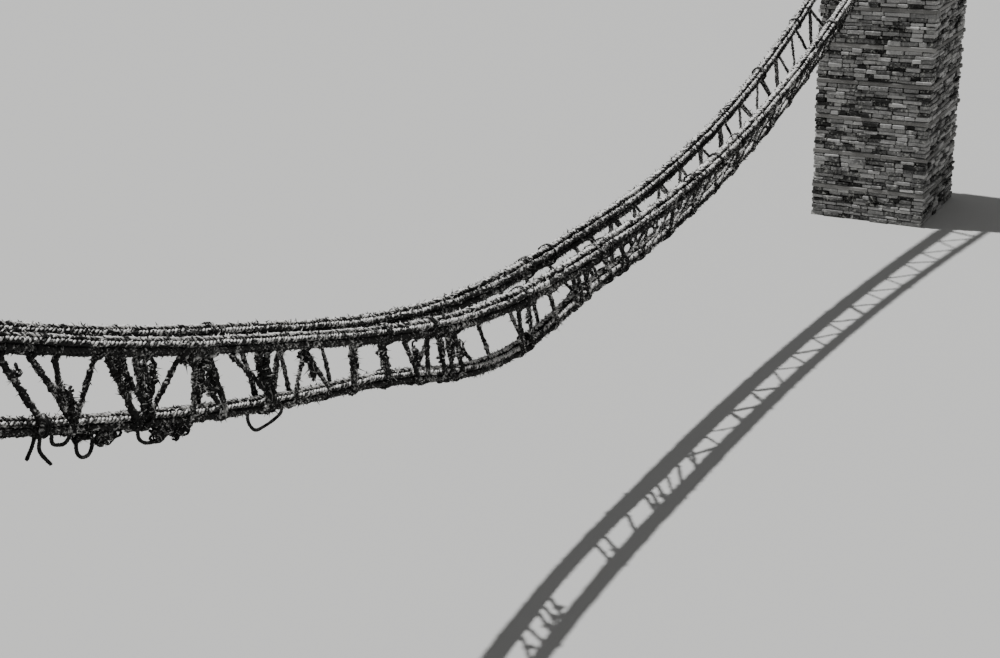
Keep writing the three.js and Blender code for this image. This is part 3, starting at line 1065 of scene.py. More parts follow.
@dataclass
class SideLacing:
    """One half of a side's lacing: lashings round the handrail and the foot cable, and its legs.

    Attributes:
        side: The side of the bridge.
        end: The half of the span.
        turn_radius: The radius of a lashing's cord.
        knot_radius: The radius of the cord in a tangle.
        lay_reach: How far a leg's middle lies from the middle of a cable that it goes round.
        twist: How long one turn of a leg's strands is.
        rough: How uneven a leg is.
        step: The distance between the points of a leg.
        lashed_share: The share of the legs' ends that a lashing holds.
        lashing_run: The length of cable that one lashing takes up.
        girdle: How far a cable's skin is from its middle, and how much that swells over each rope.
        rail_wrap: The angles round the handrail between which a leg lies on it, in degrees.
        rail_tuck: How far from the handrail's middle its end is tucked in.
        foot_wrap: The angles round the foot cable between which it lies on it, in degrees.
        foot_tuck: How far from the foot cable's middle its end is tucked in.
        waist: The share of a leg over its knot, and how much of it the knot pulls aside.
        leg_twigs: How many twig ends stand out of a leg.
        leg_fuzz: How far they stand out of it.
        tangle_fuzz: How far twig ends stand out of a tangle.
    """

    side: Side
    end: End
    turn_radius: float = 0.0135
    knot_radius: float = 0.017
    lay_reach: float = 0.116
    twist: float = 0.14
    rough: float = 1.6
    step: float = 0.028
    lashed_share: float = 0.2
    lashing_run: float = 0.12
    girdle: tuple[float, float] = (0.1037, 0.0048)
    rail_wrap: tuple[float, float] = (0, -95)
    rail_tuck: float = 0.085
    foot_wrap: tuple[float, float] = (25, -90)
    foot_tuck: float = 0.095
    waist: tuple[float, float] = (0.6, 0.25)
    leg_twigs: int = 46
    leg_fuzz: float = 0.034
    tangle_fuzz: float = 0.045

    def __post_init__(self) -> None:
        """Finds the solid's name, its handrail, its tangles and the source of its irregularity."""
        self.name = f"{self.side.name.lower()}_lacing_{self.end.prefix}"
        self.rng = seeded(self.name)
        self.rail = RAIL_LINES[self.side]
        self.seen = self.side is Side.RIGHT and self.end is End.NEAR
        self.tangles = RIGHT_TANGLES if self.seen else ()

    def build(self, palette: Palette) -> None:
        """Makes the lacing in place of its solid.

        Args:
            palette: The finishes.
        """
        rng = self.rng
        legs = self._legs()
        routes = [self._route(leg) for leg in legs]
        strands = []
        for leg, route in zip(legs, routes):
            strands += twisted(route, rng, leg.radius, self.twist, rng.uniform(0.1, 0.3), self.rough)
        heads = [leg.rail_x for leg in legs]
        feet = [leg.foot_x for leg in legs]
        if self.seen:
            feet.append(LOOSE_LASHING_X)
        for line, places in ((self.rail, heads), (FOOT_LINE, feet)):
            for x in self._apart(places):
                if rng.random() < self.lashed_share or x == LOOSE_LASHING_X:
                    strands.append(self._lashing(line, x))
        for tangle in self.tangles:
            strands += self._tangle(tangle)
        ropes = strands_piece(f"{self.name}_ropes", strands)
        twigs = self._twigs(routes).piece(f"{self.name}_twigs")
        palette.stand_in(joined([ropes, twigs]), "lacing_rope", self.name)

    def _legs(self) -> list[Leg]:
        """Lists this half's legs: the placed ones, and an uneven zigzag where none is placed.

        Returns:
            The legs.
        """
        rng = self.rng
        legs = []
        x, stop = -0.1, 14.3
        if self.end is End.NEAR:
            legs += RIGHT_LEGS if self.side is Side.RIGHT else LEFT_LEGS
            x, stop = -14.3, -13.15
        forward = bool(rng.integers(2))
        while x < stop:
            lean = rng.uniform(0.25, 0.55) * (1 if forward else -1)
            radius = rng.uniform(0.03, 0.04)
            legs.append(Leg(x + lean / 2, x - lean / 2, radius))
            if rng.random() < 0.3:
                legs.append(Leg(x + lean / 2 + 0.09, x - lean / 2 + 0.05, radius * 0.8))
            forward = not forward
            x += rng.uniform(0.42, 0.6)
        return legs

    def _apart(self, places: Sequence[float]) -> list[float]:
        """Puts places in order, without those that lie within a lashing of the one before.

        Args:
            places: The places along the span.

        Returns:
            The places that are kept.
        """
        kept: list[float] = []
        for x in sorted(places):
            if kept and x - kept[-1] < self.lashing_run:
                if x != LOOSE_LASHING_X:
                    continue
                kept.pop()
            kept.append(x)
        return kept

    def _angles(self, start: float, stop: float, count: int) -> np.ndarray:
        """Returns angles round a cable in degrees from the outside upwards, as radians for this side."""
        angles = np.radians(np.linspace(start, stop, count))
        return angles if self.side is Side.LEFT else math.pi - angles

    def _route(self, leg: Leg) -> np.ndarray:
        """Lays the middle of one leg, from over the handrail to under the foot cable.

        Args:
            leg: The leg.

        Returns:
            Its points, at even steps.
        """
        rng = self.rng
        drift = rng.uniform(-0.04, 0.04)
        over = self.rail.round(
            self.rail.at_x(leg.rail_x) + np.linspace(drift, 0, 8),
            self._angles(*self.rail_wrap, 8),
            np.linspace(self.rail_tuck, self.lay_reach, 8),
        )
        under = FOOT_LINE.round(
            FOOT_LINE.at_x(leg.foot_x) + np.linspace(0, drift, 7),
            self._angles(*self.foot_wrap, 7),
            np.linspace(self.lay_reach, self.foot_tuck, 7),
        )
        start = over[-1]
        drop = under[0] - start
        share = np.linspace(0, 1, 9)[1:-1, None]
        run = start + drop * share
        if leg.waist_x is not None:
            waist, size = self.waist
            pull = np.exp(-(((share - waist) / size) ** 2))
            run[:, 0:1] += pull * (leg.waist_x - (start[0] + drop[0] * waist))
        line = evenly(np.vstack([over, run, under]), self.step, 0.1)
        s = np.arange(len(line)) * self.step
        return line + np.column_stack([Wobble(rng, 0.005, 0.5, 0.12).at(s) for _ in range(3)])

    def _lashing(self, line: CableLine, x: float) -> Strand:
        """Winds a lashing round a cable.

        Args:
            line: The cable.
            x: Where the lashing's middle is.

        Returns:
            Its cord.
        """
        rng = self.rng
        turns = rng.uniform(1.6, 3.2)
        count = int(turns * 14)
        angle = rng.uniform(0, 6.28) + np.linspace(0, turns * 2 * math.pi, count)
        half = turns * self.turn_radius * 1.3
        stray = Wobble(rng, 0.009, 40, 8).at(np.arange(count))
        s = line.at_x(x) + np.linspace(-half, half, count) + stray
        skin, swell = self.girdle
        reach = skin + swell * np.cos(6 * (angle - math.pi / 6)) + self.turn_radius * 0.9
        reach = reach + rng.uniform(-0.002, 0.004, count)
        radius = np.maximum(self.turn_radius * (1 + 0.14 * rng.standard_normal(count)), 0.006)
        # A lashing gets a little painted sunlight on its upper side.
        return Strand(line.round(s, angle, reach), radius, None, rng.uniform(0.1, 0.35), 0.4)

    def _inside(self, tangle: Tangle) -> np.ndarray:
        """Finds the middle of a tangle, in the side rope's plane.

        Args:
            tangle: The tangle.

        Returns:
            Its middle.
        """
        nought = np.zeros(1)
        top = self.rail.place(np.array([self.rail.at_x(tangle.x)]), nought, nought - 0.1)[0]
        foot_s = np.array([FOOT_LINE.at_x(tangle.x)])
        foot = FOOT_LINE.place(foot_s, nought + 0.1 * self.side.value, nought + 0.05)[0]
        return top + (foot - top) * tangle.drop

    def _tangle(self, tangle: Tangle) -> list[Strand]:
        """Knots lengths of cord into a clump.

        Args:
            tangle: The clump.

        Returns:
            Its cords.
        """
        rng = self.rng
        middle = self._inside(tangle)
        s = np.arange(0, 4 * (tangle.width + tangle.height), 0.016)
        cords = []
        for _ in range(tangle.cords):
            waves = [Wobble(rng, 1.0, 5 * size, 1.6 * size).at(s) for size in tangle.reach]
            line = middle + np.column_stack(waves) * tangle.reach
            thick = np.maximum(self.knot_radius * (1 + 0.2 * rng.standard_normal(len(s))), 0.007)
            # A tangle's cords get a little painted sunlight on their upper sides.
            cords.append(Strand(line, thick, None, rng.uniform(0.0, 0.3), 0.3))
        return cords

    def _twigs(self, routes: Sequence[np.ndarray]) -> Twigs:
        """Lays the twig ends along the legs and round the tangles in this half.

        Args:
            routes: The middles of the legs.

        Returns:
            The twig ends.
        """
        rng = self.rng
        roots = []
        tips = []
        for route in routes:
            size = (self.leg_twigs, 3)
            root = route[rng.integers(4, len(route) - 4, self.leg_twigs)]
            root = root + np.clip(rng.normal(0, 0.016, size), -0.02, 0.02)
            roots.append(root)
            tips.append(root + rng.normal(0, self.leg_fuzz, size) + (0, 0, -0.006))
        for tangle in self.tangles:
            size = (tangle.twigs, 3)
            stray = np.clip(rng.normal(0, 1, size), -1.2, 1.2)
            root = self._inside(tangle) + stray * tangle.reach * 0.5
            roots.append(root)
            tips.append(root + rng.normal(0, self.tangle_fuzz, size) + (0, 0, -0.015))
        roots = np.vstack(roots)
        count = len(roots)
        tone = 0.2 + rng.uniform(-0.2, 0.3, count)
        # Painted sunlight on some twig ends, drawn at random.
        return Twigs(roots, np.vstack(tips), tone, rng.choice([0.0, 0.9], count))


# The points that the slack ropes follow, the same as the solids'.
SLACK_ROUTES = {
    "hanging_loop_1": (
        (-11.1565, 0, 5.5282), (-11.1686, 0, 5.4943), (-11.173, 0.004, 5.458), (-11.17, 0.009, 5.42),
        (-11.156, 0.014, 5.384), (-11.133, 0.019, 5.35), (-11.103, 0.023, 5.32),
        (-11.067, 0.026, 5.295), (-11.026, 0.028, 5.275), (-10.984, 0.028, 5.26),
        (-10.941, 0.027, 5.249), (-10.898, 0.025, 5.243), (-10.859, 0.022, 5.244),
        (-10.822, 0.018, 5.249), (-10.785, 0.013, 5.257), (-10.749, 0.008, 5.269),
        (-10.721, 0.004, 5.283), (-10.7, 0.001, 5.303), (-10.6873, 0, 5.3261), (-10.6765, 0, 5.3562),
    ),
    "hanging_loop_2": (
        (-11.9615, 0, 5.8165), (-11.9716, 0, 5.7882), (-11.986, -0.004, 5.759),
        (-12.002, -0.009, 5.731), (-12.015, -0.014, 5.702), (-12.023, -0.019, 5.671),
        (-12.024, -0.023, 5.638), (-12.016, -0.026, 5.608), (-11.999, -0.028, 5.581),
        (-11.974, -0.029, 5.563), (-11.944, -0.029, 5.552), (-11.911, -0.028, 5.55),
        (-11.881, -0.026, 5.558), (-11.854, -0.023, 5.575), (-11.832, -0.019, 5.598),
        (-11.814, -0.014, 5.626), (-11.801, -0.009, 5.656), (-11.792, -0.004, 5.688),
        (-11.7869, 0, 5.721), (-11.7765, 0, 5.7502),
    ),
    "hanging_loop_3": (
        (-9.4745, 0, 4.9424), (-9.4837, 0, 4.9097), (-9.485, 0.004, 4.876), (-9.476, 0.009, 4.84),
        (-9.462, 0.014, 4.805), (-9.442, 0.019, 4.77), (-9.42, 0.023, 4.736), (-9.393, 0.026, 4.702),
        (-9.361, 0.029, 4.673), (-9.321, 0.031, 4.654), (-9.277, 0.031, 4.646), (-9.23, 0.03, 4.646),
        (-9.183, 0.029, 4.646), (-9.138, 0.027, 4.647), (-9.095, 0.025, 4.65), (-9.053, 0.022, 4.656),
        (-9.012, 0.018, 4.664), (-8.972, 0.013, 4.675), (-8.939, 0.008, 4.687), (-8.913, 0.003, 4.7),
        (-8.894, 0.001, 4.72), (-8.8832, 0, 4.7417), (-8.8745, 0, 4.7725),
    ),
    "hanging_loop_4": (
        (-12.268, 0, 5.9482), (-12.276, 0, 5.9298), (-12.282, 0.002, 5.908), (-12.281, 0.005, 5.882),
        (-12.272, 0.008, 5.855), (-12.254, 0.011, 5.832), (-12.232, 0.013, 5.818),
        (-12.206, 0.014, 5.806), (-12.178, 0.013, 5.795), (-12.152, 0.011, 5.788),
        (-12.123, 0.008, 5.79), (-12.097, 0.005, 5.802), (-12.077, 0.002, 5.82), (-12.066, 0, 5.8388),
        (-12.058, 0, 5.8571),
    ),
    "loose_end_1": (
        (-12.4155, 0, 5.9834), (-12.4282, 0, 5.9541), (-12.438, 0.002, 5.923), (-12.443, 0.005, 5.897),
        (-12.444, 0.008, 5.871), (-12.44, 0.011, 5.845), (-12.432, 0.013, 5.82),
        (-12.422, 0.015, 5.796), (-12.41, 0.017, 5.773), (-12.397, 0.019, 5.75),
        (-12.383, 0.02, 5.727), (-12.369, 0.021, 5.705), (-12.355, 0.021, 5.682),
        (-12.341, 0.02, 5.66), (-12.327, 0.019, 5.637),
    ),
    "loose_end_2": (
        (-12.4835, 0, 6.0129), (-12.4922, 0, 5.9927), (-12.499, 0.003, 5.976), (-12.505, 0.007, 5.96),
        (-12.51, 0.012, 5.944), (-12.515, 0.017, 5.928), (-12.52, 0.023, 5.912),
        (-12.525, 0.029, 5.897), (-12.53, 0.035, 5.882), (-12.535, 0.042, 5.867),
        (-12.54, 0.049, 5.852), (-12.544, 0.056, 5.838), (-12.548, 0.062, 5.824),
        (-12.552, 0.069, 5.81), (-12.556, 0.075, 5.796), (-12.56, 0.081, 5.782),
    ),
}


@dataclass
class SlackRope:
    """A slack rope that hangs under the foot cable.

    Attributes:
        name: The name of its solid.
        route: The points that it follows.
        radius: Its radius.
        fullness: The radius over its strands, as a multiple of that.
        twist: How long one turn of its strands is.
        step: The distance between the points of a strand.
    """

    name: str
    route: Sequence[tuple[float, float, float]]
    radius: float = 0.02
    fullness: float = 1.14
    twist: float = 0.09
    step: float = 0.012

    def build(self, palette: Palette) -> None:
        """Makes the rope in place of its solid.

        Args:
            palette: The finishes.
        """
        line = evenly(self._curve(), self.step)
        strands = twisted(line, seeded(self.name), self.fullness * self.radius, self.twist, 0.1, 0.5)
        piece = strands_piece(f"{self.name}_strands", strands, 1)
        palette.stand_in(piece, "slack_rope", self.name)

    def _curve(self) -> np.ndarray:
        """Draws a smooth line through the route's points.

        Returns:
            The line, eight steps to each stretch of the route.
        """
        knots = np.array(self.route, dtype=float)
        knots = np.vstack([2 * knots[0] - knots[1], knots, 2 * knots[-1] - knots[-2]])
        t = np.linspace(0, 1, 8, endpoint=False)[:, None]
        parts = []
        for a, b, c, d in zip(knots, knots[1:], knots[2:], knots[3:]):
            bend = (2 * a - 5 * b + 4 * c - d) * t**2 + (3 * b - a - 3 * c + d) * t**3
            parts.append(0.5 * (2 * b + (c - a) * t + bend))
        return np.vstack(parts + [knots[-2:-1]])


class RoughBlocks:
    """Many rough blocks in one mesh: stones, or the fill behind them."""

    BEVEL = 0.1

    def __init__(self, rng: np.random.Generator) -> None:
        """Starts with no block.

        Args:
            rng: The source of the blocks' irregularity.
        """
        self.rng = rng
        shape = bmesh.new()
        bmesh.ops.create_cube(shape, size=1.0)
        bmesh.ops.bevel(
            shape, geom=shape.edges, offset=self.BEVEL, segments=1, profile=0.5, affect="EDGES", material=-1
        )
        shape.verts.index_update()
        self.corners = np.array([v.co[:] for v in shape.verts])
        self.faces = [[v.index for v in f.verts] for f in shape.faces]
        shape.free()
        self.places: list[np.ndarray] = []
        self.tones: list[float] = []

    def add(
        self,
        centre: Sequence[float],
        size: Sequence[float],
        turn: float = 0.0,
        rough: float = 0.0,
        tone: float = 0.5,
        edge: float = 0.012,
    ) -> None:
        """Adds a block.

        Args:
            centre: Its middle.
            size: Its length, depth and height.
            turn: Its turn about the upright, in radians.
            rough: How far its corners stray.
            tone: How pale it is.
            edge: The width of its worn edges.
        """
        extent = np.array(size, dtype=float)
        edge = min(edge, extent.min() * 0.3)
        near = (0.5 - np.abs(self.corners)) / self.BEVEL
        local = np.sign(self.corners) * (extent / 2 - near * edge)
        if rough > 0:
            stray = self.rng.uniform(-rough, rough, (2, 2, 2, 3)) * (1.0, 1.0, 0.45)
            share = np.clip(local / extent + 0.5, 0, 1)
            x_share, y_share, z_share = np.stack([1 - share, share]).transpose(2, 0, 1)
            local = local + np.einsum("in,jn,kn,ijkc->nc", x_share, y_share, z_share, stray)
        cos, sin = math.cos(turn), math.sin(turn)
        x = local[:, 0] * cos - local[:, 1] * sin
        y = local[:, 0] * sin + local[:, 1] * cos
        self.places.append(np.column_stack([x, y, local[:, 2]]) + np.array(centre))
        self.tones.append(tone)

    def piece(self, name: str, end: End) -> bpy.types.Object:
        """Joins the blocks, which are placed for the far bank.

        Args:
            name: The piece's name.
            end: The bank. For the near one they are turned half round about the origin.

        Returns:
            The piece.
        """
        places = np.vstack(self.places) * (end.value, end.value, 1)
        count = len(self.corners)
        starts = range(0, len(places), count)
        faces = [[index + start for index in face] for start in starts for face in self.faces]
        mesh = bpy.data.meshes.new(name)
        mesh.from_pydata(places.tolist(), [], faces)
        set_shade(mesh, "tone", np.repeat(np.array(self.tones), count))
        return linked(name, mesh)


# The least and greatest X, and the least and greatest Y.
Plan = tuple[float, float, float, float]


@dataclass
class Masonry:
    """An abutment's dry-laid slabs, placed for the far bank.

    Attributes:
        end: The bank that it stands on.
        course: The usual height of a course of slabs.
        slab_depth: The usual depth of a slab into the wall.
        joint: The width of the open joints.
        inset: How far the fill behind the slabs lies inside the walls.
        fill_tone: How pale the fill is, darker than any slab, as painted shade in the open joints.
        proud: How far a slab stands out of the wall: the usual, how much it varies, and the most.
        slab_tone: How pale a slab is, and how much that varies.
        least_run: The shortest face that slabs are laid along.
        paving: The usual width and length of a paving slab.
    """

    end: End
    course: float = 0.105
    slab_depth: float = 0.3
    joint: float = 0.015
    inset: float = 0.075
    fill_tone: float = -0.5
    proud: tuple[float, float, float] = (-0.006, 0.028, 0.035)
    slab_tone: tuple[float, float] = (0.46, 0.3)
    least_run: float = 0.12
    paving: tuple[float, float] = (0.36, 0.42)

    def __post_init__(self) -> None:
        """Starts with no slab laid."""
        self.name = f"{self.end.prefix}_masonry"
        self.blocks = RoughBlocks(seeded(self.name))
        self.rng = self.blocks.rng
        self.row = 0

    def build(self, palette: Palette) -> None:
        """Lays the masonry in place of its solid.

        Args:
            palette: The finishes.
        """
        half = ABUTMENT_HALF_WIDTH
        whole = (FACE_X, BACK_X, -half, half)
        level = 0.0
        for timber in range(TIMBER_LEVELS):
            bottom = TIMBER_FIRST + timber * TIMBER_SPACING - TIMBER_HEIGHT / 2
            self._band(whole, level, bottom)
            level = bottom + TIMBER_HEIGHT
        self._band(whole, level, LEDGE_Z)
        self._band((FACE_X, STEP_X, -half, half), LEDGE_Z, DECK_Z)
        self._pave((STEP_X + 0.02, BACK_X, -half, half), LEDGE_Z)
        self._pave((FACE_X, STEP_X, -PASSAGE_HALF_WIDTH, PASSAGE_HALF_WIDTH), DECK_Z)
        for low_y, high_y in ((-half, -PASSAGE_HALF_WIDTH), (PASSAGE_HALF_WIDTH, half)):
            self._shoulder(low_y, high_y)
        self._fill(whole, 0.0, LEDGE_Z - self.inset)
        self._fill((FACE_X, STEP_X, -half, half), LEDGE_Z - self.inset, DECK_Z - self.inset)
        palette.stand_in(self.blocks.piece(f"{self.name}_slabs", self.end), "dry_stone", self.name)
        LOG.info("%s: %d slabs", self.name, len(self.blocks.places))

    def _fill(self, plan: Plan, low: float, high: float) -> None:
        """Puts dark fill behind the slabs, painted shade in the open joints.

        Args:
            plan: The walls' plan.
            low: The height of its underside.
            high: The height of its top.
        """
        min_x, max_x, min_y, max_y = plan
        less = 2 * self.inset
        self.blocks.add(
            ((min_x + max_x) / 2, (min_y + max_y) / 2, (low + high) / 2),
            (max_x - min_x - less, max_y - min_y - less, high - low),
            tone=self.fill_tone,
        )

    def _shoulder(self, low_y: float, high_y: float) -> None:
        """Lays one shoulder beside the passage, its back stepped down under the backstay.

        Args:
            low_y: Its side nearer the bridge's right.
            high_y: Its side nearer the bridge's left.
        """
        stay = backstay_slope(RAIL_HANG.saddle_z)
        under = RAIL_HANG.saddle_z - (CABLE_HALF + BACKSTAY_CLEARANCE) / math.cos(stay)
        low_z = max(under - (STEP_X - SADDLE_BACK) * math.tan(stay), DECK_Z)
        slope = (SHOULDER_Z - low_z) / (STEP_X - FACE_X - SHOULDER_LEVEL_RUN)
        count = round((SHOULDER_Z - DECK_Z) / self.course)
        height = (SHOULDER_Z - DECK_Z) / count
        for i in range(count):
            top = DECK_Z + (i + 1) * height
            plan = (FACE_X, min(STEP_X, STEP_X - (top - low_z) / slope), low_y, high_y)
            self._ring(plan, top - height, height, i)
            self._fill(plan, top - height * 0.99, top - height * 0.01)
        level = (FACE_X + 0.02, FACE_X + SHOULDER_LEVEL_RUN, low_y + 0.02, high_y - 0.02)
        self._pave(level, SHOULDER_Z)

    def _band(self, plan: Plan, low: float, high: float) -> None:
        """Lays whole courses between two heights.

        Args:
            plan: Their plan.
            low: The lower height.
            high: The upper height.
        """
        count = max(1, round((high - low) / self.course))
        for bottom, height in self._shares(low, high, count, 0.75, 1.3):
            self._ring(plan, bottom, height)
            self.row += 1

    def _shares(self, start: float, stop: float, count: int, least: float, most: float) -> np.ndarray:
        """Shares out a stretch in uneven lengths.

        Args:
            start: Where it starts.
            stop: Where it stops.
            count: How many lengths to make.
            least: The least that one may take, beside the others.
            most: The most that one may take, beside the others.

        Returns:
            The start and the size of each length, one a row.
        """
        sizes = self.rng.uniform(least, most, count)
        sizes *= (stop - start) / sizes.sum()
        return np.column_stack([start + np.cumsum(sizes) - sizes, sizes])

    def _ring(self, plan: Plan, low: float, height: float, above: int = 0) -> None:
        """Lays one course of slabs round a plan, its corners bonded with the course below.

        Args:
            plan: Its plan.
            low: The height of its underside.
            height: Its height.
            above: How many courses it stands above the last whole one.
        """
        min_x, max_x, min_y, max_y = plan
        through = (self.row + above) % 2 == 0
        inset_x = self.slab_depth if through else 0.0
        inset_y = 0.0 if through else self.slab_depth
        for y, outward in ((min_y, -1), (max_y, 1)):
            self._run((min_x + inset_x, max_x - inset_x), y, outward, low, height, True)
        for x, outward in ((min_x, -1), (max_x, 1)):
            self._run((min_y + inset_y, max_y - inset_y), x, outward, low, height, False)

    def _run(
        self, span: tuple[float, float], face: float, outward: int, low: float, height: float, along_x: bool
    ) -> None:
        """Lays slabs side by side along one face.

        Args:
            span: Where the run starts and ends.
            face: Where the wall's face is.
            outward: The sign of the outward direction.
            low: The height of the course's underside.
            height: The course's height.
            along_x: Whether the run goes along X, and not along Y.
        """
        rng = self.rng
        room = span[1] - span[0]
        if room < self.least_run:
            return
        count = max(1, round(room / rng.uniform(0.3, 0.4)))
        for start, length in self._shares(*span, count, 0.55, 1.5):
            proud = min(rng.normal(*self.proud[:2]), self.proud[2])
            depth = self.slab_depth * rng.uniform(0.85, 1.0)
            centre = (start + length / 2, face + outward * (proud - depth / 2))
            size = (length - self.joint, depth)
            step = 1 if along_x else -1
            self.blocks.add(
                (*centre[::step], low + height / 2 + rng.normal(0, 0.002)),
                (*size[::step], height - self.joint * rng.uniform(0.3, 1.2)),
                rng.normal(0, 0.015),
                0.014,
                np.clip(rng.normal(*self.slab_tone), 0.02, 1.0),
                rng.uniform(0.008, 0.02),
            )

    def _pave(self, plan: Plan, top: float) -> None:
        """Lays flat slabs over a level top.

        Args:
            plan: Its plan.
            top: The height of their upper side.
        """
        rng = self.rng
        min_x, max_x, min_y, max_y = plan
        rows = max(1, round((max_x - min_x) / self.paving[0]))
        count = max(1, round((max_y - min_y) / self.paving[1]))
        for x, width in self._shares(min_x, max_x, rows, 0.8, 1.2):
            for y, length in self._shares(min_y, max_y, count, 0.7, 1.3):
                thick = rng.uniform(0.06, 0.08)
                self.blocks.add(
                    (x + width / 2, y + length / 2, top - thick / 2 + rng.uniform(0.0, 0.012)),
                    (width - self.joint, length - self.joint, thick),
                    rng.normal(0, 0.02),
                    0.016,
                    np.clip(rng.normal(0.55, 0.15), 0.1, 0.95),
                )


@dataclass(frozen=True)
class TimberCourse:
    """Four split timbers let into the masonry at one height.

    Attributes:
        end: The bank.
        level: The number of the course, from the lowest.
        height: The height of a timber.
        corner_gap: How far a timber along the span stops short of the wall's faces.
    """

    end: End
    level: int
    height: float = TIMBER_HEIGHT - 0.012
    corner_gap: float = 0.13

    def build(self, palette: Palette) -> None:
        """Makes the timbers in place of their solid, two of them running past the corners.

        Args:
            palette: The finishes.
        """
        name = f"{self.end.prefix}_timber_course_{self.level + 1}"
        rng = seeded(name)
        blocks = RoughBlocks(rng)
        half = ABUTMENT_HALF_WIDTH
        back = TIMBER_WIDTH / 2 - TIMBER_PROUD
        for x, outward in ((FACE_X, -1), (BACK_X, 1)):
            low = -half - rng.uniform(0.0, 0.05)
            high = half + rng.uniform(0.0, 0.05)
            self._beam(blocks, (low, high), x - outward * back, -1)
        for y in (-half, half):
            span = (FACE_X + self.corner_gap, BACK_X - self.corner_gap)
            self._beam(blocks, span, y - math.copysign(back, y), 1)
        palette.stand_in(blocks.piece(f"{name}_beams", self.end), "lacing_timber", name)

    def _beam(self, blocks: RoughBlocks, span: tuple[float, float], off: float, step: int) -> None:
        """Lays one split timber as two lengths, end to end.

        Args:
            blocks: Where it goes.
            span: Where it starts and ends.
            off: Where its middle is, across it.
            step: 1 if it runs along X, and -1 if it runs along Y.
        """
        rng = blocks.rng
        start, stop = span
        cut = rng.uniform(0.35, 0.65) * (stop - start) + start
        for low, high in ((start, cut), (cut, stop)):
            size = (high - low - 0.006, TIMBER_WIDTH - rng.uniform(0, 0.02))
            centre = ((low + high) / 2, off)
            tone = np.clip(rng.normal(0.5, 0.15), 0.1, 0.9)
            middle = TIMBER_FIRST + self.level * TIMBER_SPACING
            blocks.add((*centre[::step], middle), (*size[::step], self.height), 0.0, 0.009, tone, 0.018)


@dataclass(frozen=True)
class Log:
    """A worn log that lies across an abutment.

    Attributes:
        end: The bank.
        name: Its name after the bank's.
        half: Half its thickness.
        length: Its length.
        x: Where it lies along the span, for the far bank.
        y: Where its middle is across the span.
        seat_z: The height of what it lies on.
    """

    end: End
    name: str
    half: float
    length: float
    x: float
    y: float
    seat_z: float

    SIDES = 20
    # The depth of its grain, the height of its knots and its greatest girth, as shares of its own.
    GRAIN = 0.045
    KNOT = 0.06
    MOST = 1.03
    KNOT_SIZE = 0.07

    def build(self, palette: Palette) -> None:
        """Makes the log in place of its solid.

        Args:
            palette: The finishes.
        """
        half, length = self.half, self.length
        node = f"{self.end.prefix}_{self.name}"
        rng = seeded(node)
        shape = bmesh.new()
        bmesh.ops.create_cone(
            shape, cap_ends=True, segments=self.SIDES, radius1=half, radius2=half, depth=length
        )
        long_edges = [e for e in shape.edges if abs(e.verts[0].co.z - e.verts[1].co.z) > length / 2]
        cuts = max(4, int(length / 0.12))
        bmesh.ops.subdivide_edges(shape, edges=long_edges, cuts=cuts, use_grid_fill=True)
        ends = [f for f in shape.faces if abs(f.normal.z) > 0.9]
        bmesh.ops.inset_individual(shape, faces=ends, thickness=half * 0.18, depth=half * 0.05)
        self._wear(shape, rng)
        bmesh.ops.rotate(shape, verts=shape.verts, matrix=Matrix.Rotation(math.pi / 2, 3, "X"))
        bmesh.ops.translate(shape, verts=shape.verts, vec=(self.x, self.y, self.seat_z + half))
        if self.end is End.NEAR:
            bmesh.ops.rotate(shape, verts=shape.verts, matrix=Matrix.Rotation(math.pi, 3, "Z"))
        bmesh.ops.recalc_face_normals(shape, faces=shape.faces)
        mesh = bpy.data.meshes.new(f"{node}_worn")
        shape.to_mesh(mesh)
        shape.free()
        mesh.polygons.foreach_set("use_smooth", [True] * len(mesh.polygons))
        mesh.set_sharp_from_angle(angle=math.radians(40))
        set_shade(mesh, "tone", 0.5 + rng.uniform(-0.12, 0.12, len(mesh.vertices)))
        palette.stand_in(linked(f"{node}_worn", mesh), "log_wood", node)

    def _wear(self, shape: bmesh.types.BMesh, rng: np.random.Generator) -> None:
        """Swells a log at its knots and hollows it along its grain.

        Args:
            shape: The log, lying along Z.
            rng: The source of its irregularity.
        """
        waves = [Wobble(rng, 0.05 * self.half, 1.1, 0.2) for _ in range(3)]
        knots = [(rng.uniform(-0.4, 0.4) * self.length, rng.uniform(0, 6.28)) for _ in range(3)]
        for vert in shape.verts:
            angle = math.atan2(vert.co.y, vert.co.x)
            along = np.array([vert.co.z])
            grow = 1 + waves[0].at(along + 2.0 * math.cos(angle))[0] / self.half
            grow -= self.GRAIN * abs(math.sin(angle * 2.5 + 4 * waves[1].at(along)[0] / self.half))
            for place, bearing in knots:
                gap = math.hypot((vert.co.z - place) / self.KNOT_SIZE, 4 * math.sin((angle - bearing) / 2))
                grow += self.KNOT * math.exp(-gap * gap)
            vert.co.x *= min(grow, self.MOST)
            vert.co.y *= min(grow, self.MOST)


@dataclass(frozen=True)
class Abutment:
    """A dry-laid slab abutment with timber courses, saddle logs and an anchor log.

    Attributes:
        end: The bank that it stands on.
    """

    end: End

    def build(self, palette: Palette) -> None:
        """Makes the masonry, the timbers and the logs in place of their solids.

        Args:
            palette: The finishes.
        """
        Masonry(self.end).build(palette)
        for level in range(TIMBER_LEVELS):
            TimberCourse(self.end, level).build(palette)
        out = PASSAGE_HALF_WIDTH + RAIL_LOG_LENGTH / 2 - RAIL_LOG_OVERHANG
        places = [("foot_saddle_log", FOOT_LOG_HALF, FOOT_LOG_LENGTH, SADDLE_X, 0.0, DECK_Z)]
        for side in Side:
            name = f"{Side(side.value * self.end.value).name.lower()}_rail_saddle_log"
            places.append((name, RAIL_LOG_HALF, RAIL_LOG_LENGTH, SADDLE_X, side.value * out, SHOULDER_Z))
        places.append(("anchor_log", ANCHOR_LOG_HALF, 2 * ABUTMENT_HALF_WIDTH, ANCHOR_X, 0.0, LEDGE_Z))
        for place in places:
            Log(self.end, *place).build(palette)


